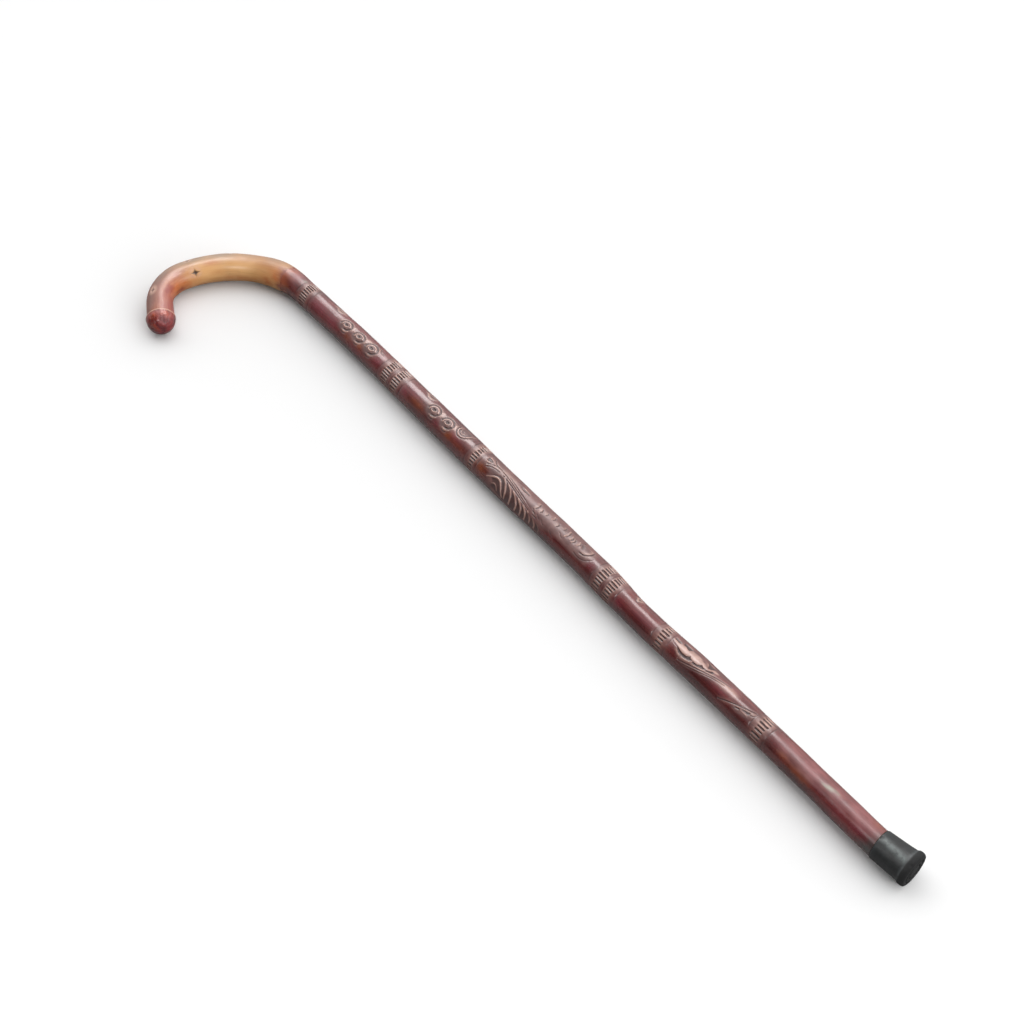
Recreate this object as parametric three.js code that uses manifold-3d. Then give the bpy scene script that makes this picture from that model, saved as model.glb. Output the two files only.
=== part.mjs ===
// A carved walking stick, lying on its side as if on a table: a straight shaft with carved bands,
// a crook handle joined to it by a hidden dowel, and a rubber tip that pulls off the foot.
// Millimetres, +Z up. The shaft runs along +X to the rubber tip, and the crook bends towards -Y.

import * as THREE from 'three';
import { mergeVertices } from 'three/addons/utils/BufferGeometryUtils.js';
import Module from 'manifold-3d';

const wasm = await Module();
wasm.setup();

// The centre line, seen from above. It starts at the neck, where the shaft becomes straight.
const SHAFT_RUN = 760; // from the neck to the rim of the rubber tip
const ELBOW_RADIUS = 78; // first bend of the crook
const ELBOW_TURN = 36; // degrees
const CREST_RADIUS = 100; // long, flatter top of the crook
const CREST_TURN = 43; // degrees
const BEND_RADIUS = 36; // tight bend before the tip
const BEND_TURN = 71; // degrees
const TIP_RUN = 34; // straight end of the crook
const FOOT_LEAN = 7; // degrees that the foot and its rubber tip lean towards +Y

// The shaft is a natural stick, so it sways: distance from the neck, and offset towards +Y.
const SWAY = [
  [0, 0], [100, 1.1], [200, -0.1], [300, -1.2], [435, -1.6], [490, -3.9], [560, -2.5],
  [SHAFT_RUN, -3.3],
];

// The crook and the shaft meet on the elbow.
const JOINT_STATION = -18; // along the centre line from the neck, negative up the crook
const JOINT_RADIUS = 13.1;
const JOINT_GAP = 0.3; // glue line between the two faces
const DOWEL_RADIUS = 4;
const DOWEL_LENGTH = 44; // half in the crook, half in the shaft
const DOWEL_CLEARANCE = 0.3; // around the dowel and past each end

// Thickness of the wood: station on the centre line, and radius.
const CROOK_GIRTH = [
  [-181, 12.9], [-168, 12.6], [-150, 12.6], [-125, 13.1], [-85, 13.3], [-55, 13.0], [-36, 13.6], [-26, 13.6],
  [JOINT_STATION, JOINT_RADIUS],
];
const SHAFT_GIRTH = [
  [JOINT_STATION, JOINT_RADIUS], [-9, 12.4], [0, 12.1], [30, 12.0], [110, 12.3], [240, 12.8], [320, 12.55],
  [405, 12.4], [453, 12.6], [474, 11.7], [500, 11.7], [560, 12.15], [645, 11.95], [SHAFT_RUN, 12.25],
];

// The crook ends in a rounded knob behind a raised ring.
const KNOB_LENGTH = 15;
const KNOB_RADIUS = 13.5;
const KNOB_RING_RADIUS = 13.9;
const KNOB_RING_WIDTH = 2.4;

// Carved bands round the shaft: a row of short notches between two turned grooves.
const NOTCHES_ROUND = 26;
const NOTCH_WIDTH = 1.4;
const NOTCH_DEPTH = 0.7;
const EDGE_GROOVE_WIDTH = 2;
const EDGE_GROOVE_DEPTH = 0.5;
const EDGE_TO_NOTCH = 4; // from an edge groove to the nearest notches
// Each band: distance of its edge grooves from the neck, and how many rows of notches it holds.
const BANDS = [
  { from: 6.5, to: 23.5, rows: 1 },
  { from: 133.5, to: 166, rows: 2 },
  { from: 264, to: 278.5, rows: 1 },
  { from: 433, to: 463.5, rows: 2 },
  { from: 509.5, to: 525.5, rows: 1 },
  { from: 623, to: 641.5, rows: 1 },
];
const ROW_GAP = 5; // plain ring between two rows

// The seat is the thinner end of the shaft inside the rubber tip.
const SEAT_RADIUS = 10.6;
const SEAT_CHAMFER = 1.2;
const SEAT_CLEARANCE = 0.3; // between wood, washer and rubber

// The rubber tip: a cup that flares to a wider foot.
const TIP_LENGTH = 33.8;
const TIP_FLOOR = 6.5;
const RIM_RADIUS = 13;
const FLARE_RADIUS = 14.4;
const FLANGE_RADIUS = 15.6;
const FLANGE_THICKNESS = 7;
const FLANGE_BEVEL = 1.4;
const TREAD_RADIUS = 14;

// A steel washer keeps the end of the wood from cutting through the rubber.
const WASHER_THICKNESS = 1.5;
const WASHER_HOLE_RADIUS = 3;

// Facets
const WOOD_SIDES = NOTCHES_ROUND; // one flat side under each notch
const RUBBER_SIDES = 48;
const SMALL_SIDES = 24;
const SHAFT_STEP = 30;
const CROOK_STEP = 6;
const KNOB_STEPS = 6;

const rad = THREE.MathUtils.degToRad;

// The crook's three bends and its straight end, in order from the neck.
const CROOK_RUNS = [
  { length: ELBOW_RADIUS * rad(ELBOW_TURN), turn: rad(ELBOW_TURN) },
  { length: CREST_RADIUS * rad(CREST_TURN), turn: rad(CREST_TURN) },
  { length: BEND_RADIUS * rad(BEND_TURN), turn: rad(BEND_TURN) },
  { length: TIP_RUN, turn: 0 },
];
const CROOK_LENGTH = CROOK_RUNS.reduce((sum, run) => sum + run.length, 0);

// Lying down, the stick touches the table at its thickest places: the crook and the rubber tip.
const CROOK_HEIGHT = KNOB_RING_RADIUS;
const FOOT_HEIGHT = FLANGE_RADIUS;

/** Makes a smooth function through pairs of position and value. */
function smooth(pairs) {
  const positions = pairs.map(([position]) => position);
  const values = pairs.map(([, value]) => value);
  const interpolant = new THREE.CubicInterpolant(positions, values, 1);
  return (position) => interpolant.evaluate(position)[0];
}

const sway = smooth(SWAY);
const crookRadius = smooth(CROOK_GIRTH);
const shaftRadius = smooth(SHAFT_GIRTH);

/** Point and heading on the crook, a distance up from the neck. */
function onCrook(distance) {
  const point = new THREE.Vector3(0, 0, CROOK_HEIGHT);
  let heading = 0;
  let left = distance;
  for (const { length, turn } of CROOK_RUNS) {
    const part = Math.min(left, length);
    const turned = (turn * part) / length;
    const chord = turned > 0 ? (part * Math.sin(turned / 2)) / (turned / 2) : part;
    point.x -= chord * Math.cos(heading + turned / 2);
    point.y -= chord * Math.sin(heading + turned / 2);
    heading += turned;
    left -= part;
  }
  return { point, heading };
}

/** Point and heading on the shaft, a distance down from the neck. */
function onShaft(distance) {
  const height = THREE.MathUtils.lerp(CROOK_HEIGHT, FOOT_HEIGHT, distance / SHAFT_RUN);
  const before = Math.max(distance - 1, 0);
  const after = Math.min(distance + 1, SHAFT_RUN);
  return {
    point: new THREE.Vector3(distance, sway(distance), height),
    heading: Math.atan2(sway(after) - sway(before), after - before),
  };
}

/** Point and heading on the straight foot, a distance past the rim of the rubber tip. */
function onFoot(distance) {
  const heading = rad(FOOT_LEAN);
  const { point } = onShaft(SHAFT_RUN);
  point.x += distance * Math.cos(heading);
  point.y += distance * Math.sin(heading);
  return { point, heading };
}

/** The frame at a station of the centre line: its local X runs along the stick to the foot, Z is up. */
function frameAt(station) {
  let spot = onShaft(station);
  if (station < 0) spot = onCrook(-station);
  if (station > SHAFT_RUN - SHAFT_STEP / 2) spot = onFoot(station - SHAFT_RUN);
  return new THREE.Matrix4().makeRotationZ(spot.heading).setPosition(spot.point);
}

/** Turns a profile of [station, radius] into a straight body, then lays it along the centre line. */
function turnedWood(profile) {
  const points = profile.map(([station, radius]) => new THREE.Vector2(radius, station));
  const geometry = new THREE.LatheGeometry(points, WOOD_SIDES);
  const position = geometry.attributes.position;
  const vertex = new THREE.Vector3();
  for (let i = 0; i < position.count; i += 1) {
    vertex.fromBufferAttribute(position, i);
    const frame = frameAt(vertex.y);
    vertex.set(0, vertex.z, vertex.x).applyMatrix4(frame);
    position.setXYZ(i, vertex.x, vertex.y, vertex.z);
  }
  return geometry;
}

/** Turns a profile of [place, radius] about the local X axis. */
function turned(profile, sides) {
  const points = profile.map(([place, radius]) => new THREE.Vector2(radius, place));
  return new THREE.LatheGeometry(points, sides).rotateZ(-Math.PI / 2);
}

/** A geometry with shared vertices and no empty triangles. */
function welded(geometry) {
  geometry.deleteAttribute('normal');
  geometry.deleteAttribute('uv');
  const merged = mergeVertices(geometry);
  const corners = merged.index.array;
  const kept = [];
  for (let i = 0; i < corners.length; i += 3) {
    const [a, b, c] = corners.slice(i, i + 3);
    if (a !== b && b !== c && c !== a) kept.push(a, b, c);
  }
  merged.setIndex(kept);
  return merged;
}

/** Makes a solid that can be cut from a closed geometry. */
function solid(geometry) {
  const { attributes, index } = welded(geometry);
  return new wasm.Manifold(new wasm.Mesh({
    numProp: 3,
    vertProperties: new Float32Array(attributes.position.array),
    triVerts: new Uint32Array(index.array),
  }));
}

/** Cuts closed geometries out of another. */
function cut(geometry, cutters) {
  const { vertProperties, triVerts } = solid(geometry).subtract(wasm.Manifold.union(cutters.map(solid))).getMesh();
  const result = new THREE.BufferGeometry();
  result.setAttribute('position', new THREE.BufferAttribute(vertProperties, 3));
  result.setIndex(new THREE.BufferAttribute(triVerts, 1));
  return result;
}

/** Stations from one place to another, no further apart than a step. */
function stations(from, to, step) {
  const count = Math.ceil((to - from) / step);
  return Array.from({ length: count + 1 }, (_, i) => from + ((to - from) * i) / count);
}

/** The blind hole for one half of the dowel, in the frame of the joint. */
function dowelHole() {
  const length = DOWEL_LENGTH + 2 * DOWEL_CLEARANCE;
  const hole = new THREE.CylinderGeometry(
    DOWEL_RADIUS + DOWEL_CLEARANCE, DOWEL_RADIUS + DOWEL_CLEARANCE, length, SMALL_SIDES,
  );
  return hole.rotateZ(-Math.PI / 2).applyMatrix4(frameAt(JOINT_STATION));
}

/** Half profile of the knob, from its middle point back to the ring. */
function knobProfile() {
  const end = -CROOK_LENGTH;
  const domeLength = KNOB_LENGTH - KNOB_RING_WIDTH / 2;
  const profile = [];
  for (let i = 0; i < KNOB_STEPS; i += 1) {
    const angle = (i / KNOB_STEPS) * (Math.PI / 2);
    profile.push([end + domeLength * (1 - Math.cos(angle)), KNOB_RADIUS * Math.sin(angle)]);
  }
  const ring = end + KNOB_LENGTH;
  profile.push([ring - KNOB_RING_WIDTH / 2, KNOB_RADIUS]);
  profile.push([ring, KNOB_RING_RADIUS]);
  profile.push([ring + KNOB_RING_WIDTH / 2, crookRadius(ring + KNOB_RING_WIDTH / 2)]);
  return profile;
}

function crookHandle() {
  const profile = knobProfile();
  const [behindRing] = profile.at(-1);
  const face = JOINT_STATION - JOINT_GAP / 2;
  for (const station of stations(behindRing, face, CROOK_STEP).slice(1)) {
    profile.push([station, crookRadius(station)]);
  }
  profile.push([face, 0]);
  return cut(turnedWood(profile), [dowelHole()]);
}

/** Stations and depths of the turned grooves at both edges of every band. */
function grooveProfile() {
  return BANDS.flatMap(({ from, to }) => [from, to]).flatMap((middle) => [
    [middle - EDGE_GROOVE_WIDTH / 2, 0],
    [middle, EDGE_GROOVE_DEPTH],
    [middle + EDGE_GROOVE_WIDTH / 2, 0],
  ]);
}

/** Where each row of notches starts, and its length. */
function notchRows({ from, to, rows }) {
  const start = from + EDGE_TO_NOTCH;
  const length = (to - from - 2 * EDGE_TO_NOTCH - (rows - 1) * ROW_GAP) / rows;
  return Array.from({ length: rows }, (_, i) => ({ start: start + i * (length + ROW_GAP), length }));
}

/** One notch: a small block standing in the surface of the wood. */
function notch(station, length, angle) {
  const radius = shaftRadius(station);
  const block = new THREE.BoxGeometry(length, NOTCH_WIDTH, 2 * NOTCH_DEPTH);
  return block.translate(0, 0, radius).rotateX(angle).applyMatrix4(frameAt(station));
}

function carvedShaft() {
  const face = JOINT_STATION + JOINT_GAP / 2;
  const shoulder = SHAFT_RUN - SEAT_CLEARANCE;
  const seatEnd = SHAFT_RUN + TIP_LENGTH - TIP_FLOOR - WASHER_THICKNESS - 2 * SEAT_CLEARANCE;
  const grooves = grooveProfile();
  const plain = stations(face, shoulder, SHAFT_STEP)
    .filter((station) => grooves.every(([place]) => Math.abs(place - station) > EDGE_GROOVE_WIDTH))
    .map((station) => [station, 0]);
  const profile = [...plain, ...grooves]
    .sort((a, b) => a[0] - b[0])
    .map(([station, depth]) => [station, shaftRadius(station) - depth]);
  profile.unshift([face, 0]);
  profile.push([shoulder, SEAT_RADIUS]);
  profile.push([seatEnd - SEAT_CHAMFER, SEAT_RADIUS]);
  profile.push([seatEnd, SEAT_RADIUS - SEAT_CHAMFER]);
  profile.push([seatEnd, 0]);

  const notches = BANDS.flatMap(notchRows).flatMap(({ start, length }) => Array.from(
    { length: NOTCHES_ROUND },
    (_, i) => notch(start + length / 2, length, (i / NOTCHES_ROUND) * 2 * Math.PI),
  ));
  return cut(turnedWood(profile), [dowelHole(), ...notches]);
}

function rubberTip() {
  const floor = TIP_LENGTH - TIP_FLOOR;
  const bore = SEAT_RADIUS + SEAT_CLEARANCE;
  const flange = TIP_LENGTH - FLANGE_THICKNESS;
  return turned([
    [floor, 0],
    [floor, bore],
    [0, bore],
    [0, RIM_RADIUS],
    [flange / 2, (RIM_RADIUS + FLARE_RADIUS) / 2],
    [flange, FLARE_RADIUS],
    [flange + FLANGE_BEVEL, FLANGE_RADIUS],
    [TIP_LENGTH - FLANGE_BEVEL, FLANGE_RADIUS],
    [TIP_LENGTH, TREAD_RADIUS],
    [TIP_LENGTH, 0],
  ], RUBBER_SIDES);
}

function washer() {
  const back = TIP_LENGTH - TIP_FLOOR - SEAT_CLEARANCE;
  const front = back - WASHER_THICKNESS;
  return turned([
    [front, WASHER_HOLE_RADIUS],
    [front, SEAT_RADIUS],
    [back, SEAT_RADIUS],
    [back, WASHER_HOLE_RADIUS],
    [front, WASHER_HOLE_RADIUS],
  ], SMALL_SIDES);
}

const honeyWood = new THREE.MeshStandardMaterial({ color: '#b9772f', roughness: 0.35, metalness: 0 });
const redWood = new THREE.MeshStandardMaterial({ color: '#5c1f1f', roughness: 0.35, metalness: 0 });
const dowelWood = new THREE.MeshStandardMaterial({ color: '#c9a876', roughness: 0.7, metalness: 0 });
const rubber = new THREE.MeshStandardMaterial({ color: '#303335', roughness: 0.7, metalness: 0 });
const steel = new THREE.MeshStandardMaterial({ color: '#9a9c9e', roughness: 0.35, metalness: 1 });

function piece(name, geometry, material) {
  const mesh = new THREE.Mesh(geometry, material);
  mesh.name = name;
  return mesh;
}

const dowel = piece(
  'joint_dowel',
  new THREE.CylinderGeometry(DOWEL_RADIUS, DOWEL_RADIUS, DOWEL_LENGTH, SMALL_SIDES).rotateZ(-Math.PI / 2),
  dowelWood,
);
dowel.applyMatrix4(frameAt(JOINT_STATION));

const foot = new THREE.Group();
foot.add(piece('rubber_ferrule', rubberTip(), rubber), piece('ferrule_washer', washer(), steel));
foot.applyMatrix4(frameAt(SHAFT_RUN));

const stick = new THREE.Group();
stick.add(
  piece('crook_handle', crookHandle(), honeyWood),
  piece('carved_shaft', carvedShaft(), redWood),
  dowel,
  foot,
);

// The origin is the middle of the stick's outline, on the table.
const middle = new THREE.Box3().setFromObject(stick, true).getCenter(new THREE.Vector3());
stick.position.set(-middle.x, -middle.y, 0);

const group = new THREE.Group();
group.add(stick);

export default group;
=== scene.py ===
# %% [markdown]
# A carved walking stick
#
# The stick lies on its side on a pale surface. A long red shaft carries carved bands, scrolls and ribs,
# a honey-coloured crook is glued to it on the elbow, and a rubber tip is pushed over its foot.
#
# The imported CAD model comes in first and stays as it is. Everything made below is built round it, in the
# same place and at the same size, and then says which CAD solid it stands for.

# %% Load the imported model
import math

import bpy
import numpy as np
from mathutils import Matrix, Vector


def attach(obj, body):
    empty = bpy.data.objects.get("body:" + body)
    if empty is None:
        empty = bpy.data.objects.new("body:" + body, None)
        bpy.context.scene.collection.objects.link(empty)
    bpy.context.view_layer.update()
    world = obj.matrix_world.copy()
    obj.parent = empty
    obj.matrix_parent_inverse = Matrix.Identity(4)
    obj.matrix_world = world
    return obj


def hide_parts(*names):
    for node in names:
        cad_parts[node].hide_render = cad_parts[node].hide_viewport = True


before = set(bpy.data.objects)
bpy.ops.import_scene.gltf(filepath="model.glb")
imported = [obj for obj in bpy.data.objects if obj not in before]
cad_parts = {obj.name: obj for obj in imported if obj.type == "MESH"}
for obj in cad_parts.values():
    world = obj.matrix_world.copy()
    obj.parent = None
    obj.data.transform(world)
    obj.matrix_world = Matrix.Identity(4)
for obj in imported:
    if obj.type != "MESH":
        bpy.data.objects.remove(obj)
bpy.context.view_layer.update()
print("CAD nodes:", sorted(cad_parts))

# %% [markdown]
# Small helpers
#
# Sizes below are in millimetres, as on a drawing, and become metres when a point is placed.
# Blender's operators act on whatever is selected, so each new piece starts with nothing selected.

# %% Helpers for making and finishing a piece
MM = 0.001


def select_nothing():
    bpy.ops.object.select_all(action="DESELECT")
    bpy.context.view_layer.objects.active = None


def edit(mode):
    bpy.ops.object.mode_set(mode=mode)


def apply_modifier(piece, kind, **settings):
    modifier = piece.modifiers.new(kind.lower(), kind)
    for name, value in settings.items():
        setattr(modifier, name, value)
    bpy.ops.object.modifier_apply(modifier=modifier.name)


def points_of(piece):
    flat = np.empty(len(piece.data.vertices) * 3, np.float32)
    piece.data.vertices.foreach_get("co", flat)
    return flat.reshape(-1, 3).astype(float)


def move_points(piece, points):
    piece.data.vertices.foreach_set("co", np.asarray(points, np.float32).ravel())
    piece.data.update()


def store(piece, marks):
    """Keeps numbers or vectors for each point of the mesh, under their names, for the material to read."""
    for name, values in marks.items():
        kind, field = ("FLOAT_VECTOR", "vector") if values.ndim == 2 else ("FLOAT", "value")
        attribute = piece.data.attributes.new(name, kind, "POINT")
        attribute.data.foreach_set(field, values.astype(np.float32).ravel())


def ramp(value, start, end):
    """0 before the start, 1 after the end, and even between them. The end may be the lower of the two."""
    return np.clip((value - start) / (end - start), 0, 1)


def triangles(piece):
    return sum(len(face.vertices) - 2 for face in piece.data.polygons)


# %% [markdown]
# The camera
#
# The photograph was taken from the crook's open side, about 52 degrees above the table, with a lens of
# 70 mm on full frame. The place comes from fitting a level camera to the outline of the stick.

# %% The camera
VIEW_TURN = 50.731  # degrees round from straight along +Y
VIEW_HEIGHT = 51.888  # degrees above the table
CAMERA_PLACE = (0.80364, -0.62339, 1.36153)
LENS = 69.814
SENSOR = 36

select_nothing()
bpy.ops.object.camera_add(
    location=CAMERA_PLACE,
    rotation=(math.radians(90 - VIEW_HEIGHT), 0, math.radians(VIEW_TURN)),
)
camera = bpy.context.object
camera.name = "photo_view"
camera.data.lens = LENS
camera.data.sensor_width = SENSOR
bpy.context.scene.camera = camera
bpy.context.scene.view_settings.view_transform = "Standard"
print("camera at", [round(v, 3) for v in camera.location])

# %% [markdown]
# Colours and nodes
#
# Colours are written as they look on a screen and turned to linear light by one function. One small
# function adds a node: values go in by socket, and where the value is another node, that node's output
# is linked instead.

# %% Helpers for materials


def colour(code):
    """A screen colour such as #b9772f, as linear light."""
    parts = [int(code[i:i + 2], 16) / 255 for i in (1, 3, 5)]
    linear = [p / 12.92 if p <= 0.04045 else ((p + 0.055) / 1.055) ** 2.4 for p in parts]
    return (*linear, 1)


def add(tree, kind, inputs=None, **settings):
    """Adds a node, sets it up, and fills or links its inputs. A node given as a value is linked."""
    node = tree.nodes.new("ShaderNode" + kind)
    for name, value in settings.items():
        setattr(node, name, value)
    for socket, value in (inputs or {}).items():
        if isinstance(socket, str):
            socket = next(i for i, s in enumerate(node.inputs) if s.name == socket and s.enabled)
        if isinstance(value, bpy.types.Node):
            value = next(s for s in value.outputs if s.enabled)
        if isinstance(value, bpy.types.NodeSocket):
            tree.links.new(value, node.inputs[socket])
        else:
            node.inputs[socket].default_value = value
    return node


def new_material(name):
    """An empty material, with its tree and its output node."""
    material = bpy.data.materials.new(name)
    material.use_nodes = True
    material.node_tree.nodes.clear()
    return material, material.node_tree, add(material.node_tree, "OutputMaterial")


# %% [markdown]
# The table and the light
#
# The photograph's ground is white, with a soft grey shadow on the left of the stick. So the large floor
# is pale card. The light comes from a bright room: its walls and ceiling are evenly lit all round but for
# the side that the photographer stood on, so the shadow falls to that side and the stick is dark
# underneath. A weak window on the right adds a little. Three panels give the gleams on the varnish and
# are left out of the diffuse light: a long strip beyond the stick, one over the crook and one in front.
#
# The camera sees the card at its own pale tone. What it throws back on to the stick is kept low, as under
# a real stick, where the card lies in shadow. Its reflection in the varnish lies between the two, since
# the photograph shows hardly any of the card in the stick's underside.

# %% The floor
FLOOR_SIZE = 60.0
FLOOR_SEEN = "#f4f4f4"
FLOOR_BOUNCE = "#808080"
IN_THE_VARNISH = 0.4  # how far the card's reflection goes from the bounce tone to the tone that is seen

select_nothing()
bpy.ops.mesh.primitive_plane_add(size=FLOOR_SIZE, location=(0, 0, 0))
floor = bpy.context.object
floor.name = "floor"

material, tree, output = new_material("matt_white_card")
path = add(tree, "LightPath")
glossy = add(tree, "Math", {0: path.outputs["Is Glossy Ray"], 1: IN_THE_VARNISH}, operation="MULTIPLY")
seen = add(tree, "Math", {0: path.outputs["Is Camera Ray"], 1: glossy}, operation="MAXIMUM")
seen = add(tree, "Math", {0: seen, 1: path.outputs["Is Transmission Ray"]}, operation="MAXIMUM")
tone = add(tree, "Mix", {"Factor": seen, "A": colour(FLOOR_BOUNCE), "B": colour(FLOOR_SEEN)}, data_type="RGBA")
tree.links.new(add(tree, "BsdfDiffuse", {"Color": tone}).outputs[0], output.inputs["Surface"])
floor.data.materials.append(material)

# %% The lights
ROOM_LIGHT = 1.53
DARK_SIDE = 0.07
BRIGHT_FROM = math.radians(103)  # round from +X: the middle of the bright side
BRIGHT_TILT = -0.4
DARK_BELOW, BRIGHT_ABOVE = -0.80, -0.43  # where the room goes from dark to bright, along that direction
LAMPS = [  # name, place, target, direction of the long side, size in metres, power in watts, gleam only
    ("window_on_the_right", (2.2, 0.25, 1.0), (-0.1, 0, 0), (0, 1, 0), (1.2, 0.9), 9, False),
    ("strip_softbox", (-0.46, 0.475, 0.968), (0.1, 0.04, 0), (1.02, -0.28, 0.30), (1.25, 0.40), 14.5, True),
    ("panel_over_the_crook", (-0.80, 0.25, 0.95), (-0.42, 0.02, 0.02), (1, 0, 0), (0.4, 0.2), 2.4, True),
    ("small_panel_in_front", (0.31, -1.18, 1.31), (-0.38, 0.03, 0.02), (1, 0.5, 0), (0.5, 0.4), 11.5, True),
]


def facing(place, target, along):
    """The turn that points a lamp at a target, with its long side near a direction."""
    ahead = (Vector(target) - Vector(place)).normalized()
    side = (Vector(along) - ahead * ahead.dot(Vector(along))).normalized()
    return Matrix((side, side.cross(ahead), -ahead)).transposed().to_euler()


for name, place, target, along, size, power, gleam_only in LAMPS:
    select_nothing()
    bpy.ops.object.light_add(type="AREA", location=place, rotation=facing(place, target, along))
    lamp = bpy.context.object
    lamp.name = name
    lamp.data.shape = "RECTANGLE"
    lamp.data.size, lamp.data.size_y = size
    lamp.data.energy = power
    lamp.visible_diffuse = not gleam_only
    print(name, power, "W at", place)

world = bpy.data.worlds.new("room")
bpy.context.scene.world = world
world.use_nodes = True
tree = world.node_tree
tree.nodes.clear()
bright_side = (math.cos(BRIGHT_FROM), math.sin(BRIGHT_FROM), BRIGHT_TILT)
direction = add(tree, "TexCoord").outputs["Generated"]
way = add(tree, "VectorMath", {0: direction, 1: bright_side}, operation="DOT_PRODUCT").outputs["Value"]
strength = add(tree, "MapRange", {
    "Value": way, "From Min": DARK_BELOW, "From Max": BRIGHT_ABOVE, "To Min": DARK_SIDE, "To Max": ROOM_LIGHT,
}, interpolation_type="SMOOTHSTEP")
room = add(tree, "Background", {"Color": (1, 1, 1, 1), "Strength": strength})
tree.links.new(room.outputs[0], add(tree, "OutputWorld").inputs["Surface"])

# %% [markdown]
# The line through the middle of the stick
#
# A walking stick is a straight turning that has been bent, so the drawing works the same way: every
# place on it has a station, the distance along the middle line from the neck. Stations grow towards
# the foot and are negative up the crook. The crook is three arcs and a straight end. The shaft sways a
# little, as a natural stick does, and its foot leans by a few degrees.

# %% The middle line and the thickness
SHAFT_RUN = 760.0
CROOK_BENDS = [(78.0, 36.0), (100.0, 43.0), (36.0, 71.0)]  # radius, and turn in degrees
TIP_RUN = 34.0
FOOT_LEAN = 7.0
FOOT_BEND = 30.0  # the last stretch of the shaft, where it starts to lean
JOINT = -18.0
SWAY = [(0, 0), (100, 1.1), (200, -0.1), (300, -1.2), (435, -1.6), (490, -3.9), (560, -2.5), (760, -3.3)]
CROOK_GIRTH = [(-181, 12.9), (-168, 12.6), (-150, 12.6), (-125, 13.1), (-85, 13.3), (-55, 13.0), (-36, 13.6),
               (-26, 13.6), (-18, 13.1)]
SHAFT_GIRTH = [(-18, 13.1), (-9, 12.4), (0, 12.1), (30, 12.0), (110, 12.3), (240, 12.8), (320, 12.55),
               (405, 12.4), (453, 12.6), (474, 11.7), (500, 11.7), (560, 12.15), (645, 11.95), (760, 12.25)]
CROOK_HEIGHT = 13.9
FOOT_HEIGHT = 15.6
NECK = (-348.2185, 61.1531)  # where station 0 lies, seen from above
ROUNDS = 6  # of improvement, when a station is looked up


def smooth(pairs):
    """A smooth curve through pairs of place and value."""
    place, value = np.array(pairs, float).T
    step = np.diff(value) / np.diff(place)
    slope = np.concatenate([step[:1], (step[:-1] + step[1:]) / 2, step[-1:]])

    def curve(at):
        at = np.clip(np.asarray(at, float), place[0], place[-1])
        i = np.clip(np.searchsorted(place, at, "right") - 1, 0, len(place) - 2)
        width = place[i + 1] - place[i]
        t = (at - place[i]) / width
        start = (1 + 2 * t) * (1 - t) ** 2 * value[i] + t * (1 - t) ** 2 * width * slope[i]
        return start + t * t * (3 - 2 * t) * value[i + 1] + t * t * (t - 1) * width * slope[i + 1]

    return curve


sway, crook_girth, shaft_girth = smooth(SWAY), smooth(CROOK_GIRTH), smooth(SHAFT_GIRTH)
CROOK_LENGTH = sum(radius * math.radians(turn) for radius, turn in CROOK_BENDS) + TIP_RUN


def middle_line(station):
    """x, y, z in mm and heading in radians of the middle line at each station."""
    station = np.asarray(station, float)
    run = np.clip(station, 0, None)
    x, y = run.copy(), sway(run)
    heading = np.arctan2(sway(run + 1) - sway(np.clip(run - 1, 0, None)), 2)
    lean = ramp(station, SHAFT_RUN - FOOT_BEND, SHAFT_RUN)
    heading += (math.radians(FOOT_LEAN) - heading) * lean * lean * (3 - 2 * lean)
    past = np.clip(run - SHAFT_RUN, 0, None)
    x += past * (math.cos(math.radians(FOOT_LEAN)) - 1)
    y += past * math.sin(math.radians(FOOT_LEAN))
    z = CROOK_HEIGHT + (FOOT_HEIGHT - CROOK_HEIGHT) * ramp(run, 0, SHAFT_RUN)
    left, turned = np.clip(-station, 0, None), np.zeros_like(station)
    for radius, turn in CROOK_BENDS:
        part = np.clip(left, 0, radius * math.radians(turn))
        bend = part / radius
        chord = 2 * radius * np.sin(bend / 2)
        x -= chord * np.cos(turned + bend / 2)
        y -= chord * np.sin(turned + bend / 2)
        turned, left = turned + bend, left - part
    x -= left * np.cos(turned)
    y -= left * np.sin(turned)
    heading = np.where(station < 0, turned, heading)
    return x + NECK[0], y + NECK[1], z, heading


def on_stick(station, angle, radius):
    """Points in metres. The angle is in degrees from straight up, towards the side that the crook bends to."""
    x, y, z, heading = middle_line(station)
    side, up = radius * np.sin(np.radians(angle)), radius * np.cos(np.radians(angle))
    return np.stack([x + side * np.sin(heading), y - side * np.cos(heading), z + up], -1) * MM


def off_stick(points, first_guess):
    """The reverse: station, angle and radius of points in metres."""
    x, y, z = (points / MM).T
    station = np.array(first_guess, float)
    for _ in range(ROUNDS):
        cx, cy, cz, heading = middle_line(station)
        station += (x - cx) * np.cos(heading) + (y - cy) * np.sin(heading)
    cx, cy, cz, heading = middle_line(station)
    side = (x - cx) * np.sin(heading) - (y - cy) * np.cos(heading)
    return station, np.degrees(np.arctan2(side, z - cz)), np.hypot(side, z - cz)


def apart(angle, turn):
    """The smallest angle between two turns, in degrees."""
    return (angle - turn + 180) % 360 - 180


tip_end = on_stick(np.array([-CROOK_LENGTH]), 0.0, np.array([0.0]))[0]
print("crook is", round(CROOK_LENGTH, 1), "mm long and ends at", np.round(tip_end, 4))

# %% [markdown]
# A sheet rolled round the middle line
#
# The carver's pattern is drawn flat, like a rubbing on paper, and then rolled up. So the wood starts as
# a flat grid: one direction is the station, the other the way round. Its ends are folded in to make the
# end faces and the hole for the dowel, and the edges that meet are merged into one closed skin.

# %% Rolling a grid into a stick


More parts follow.
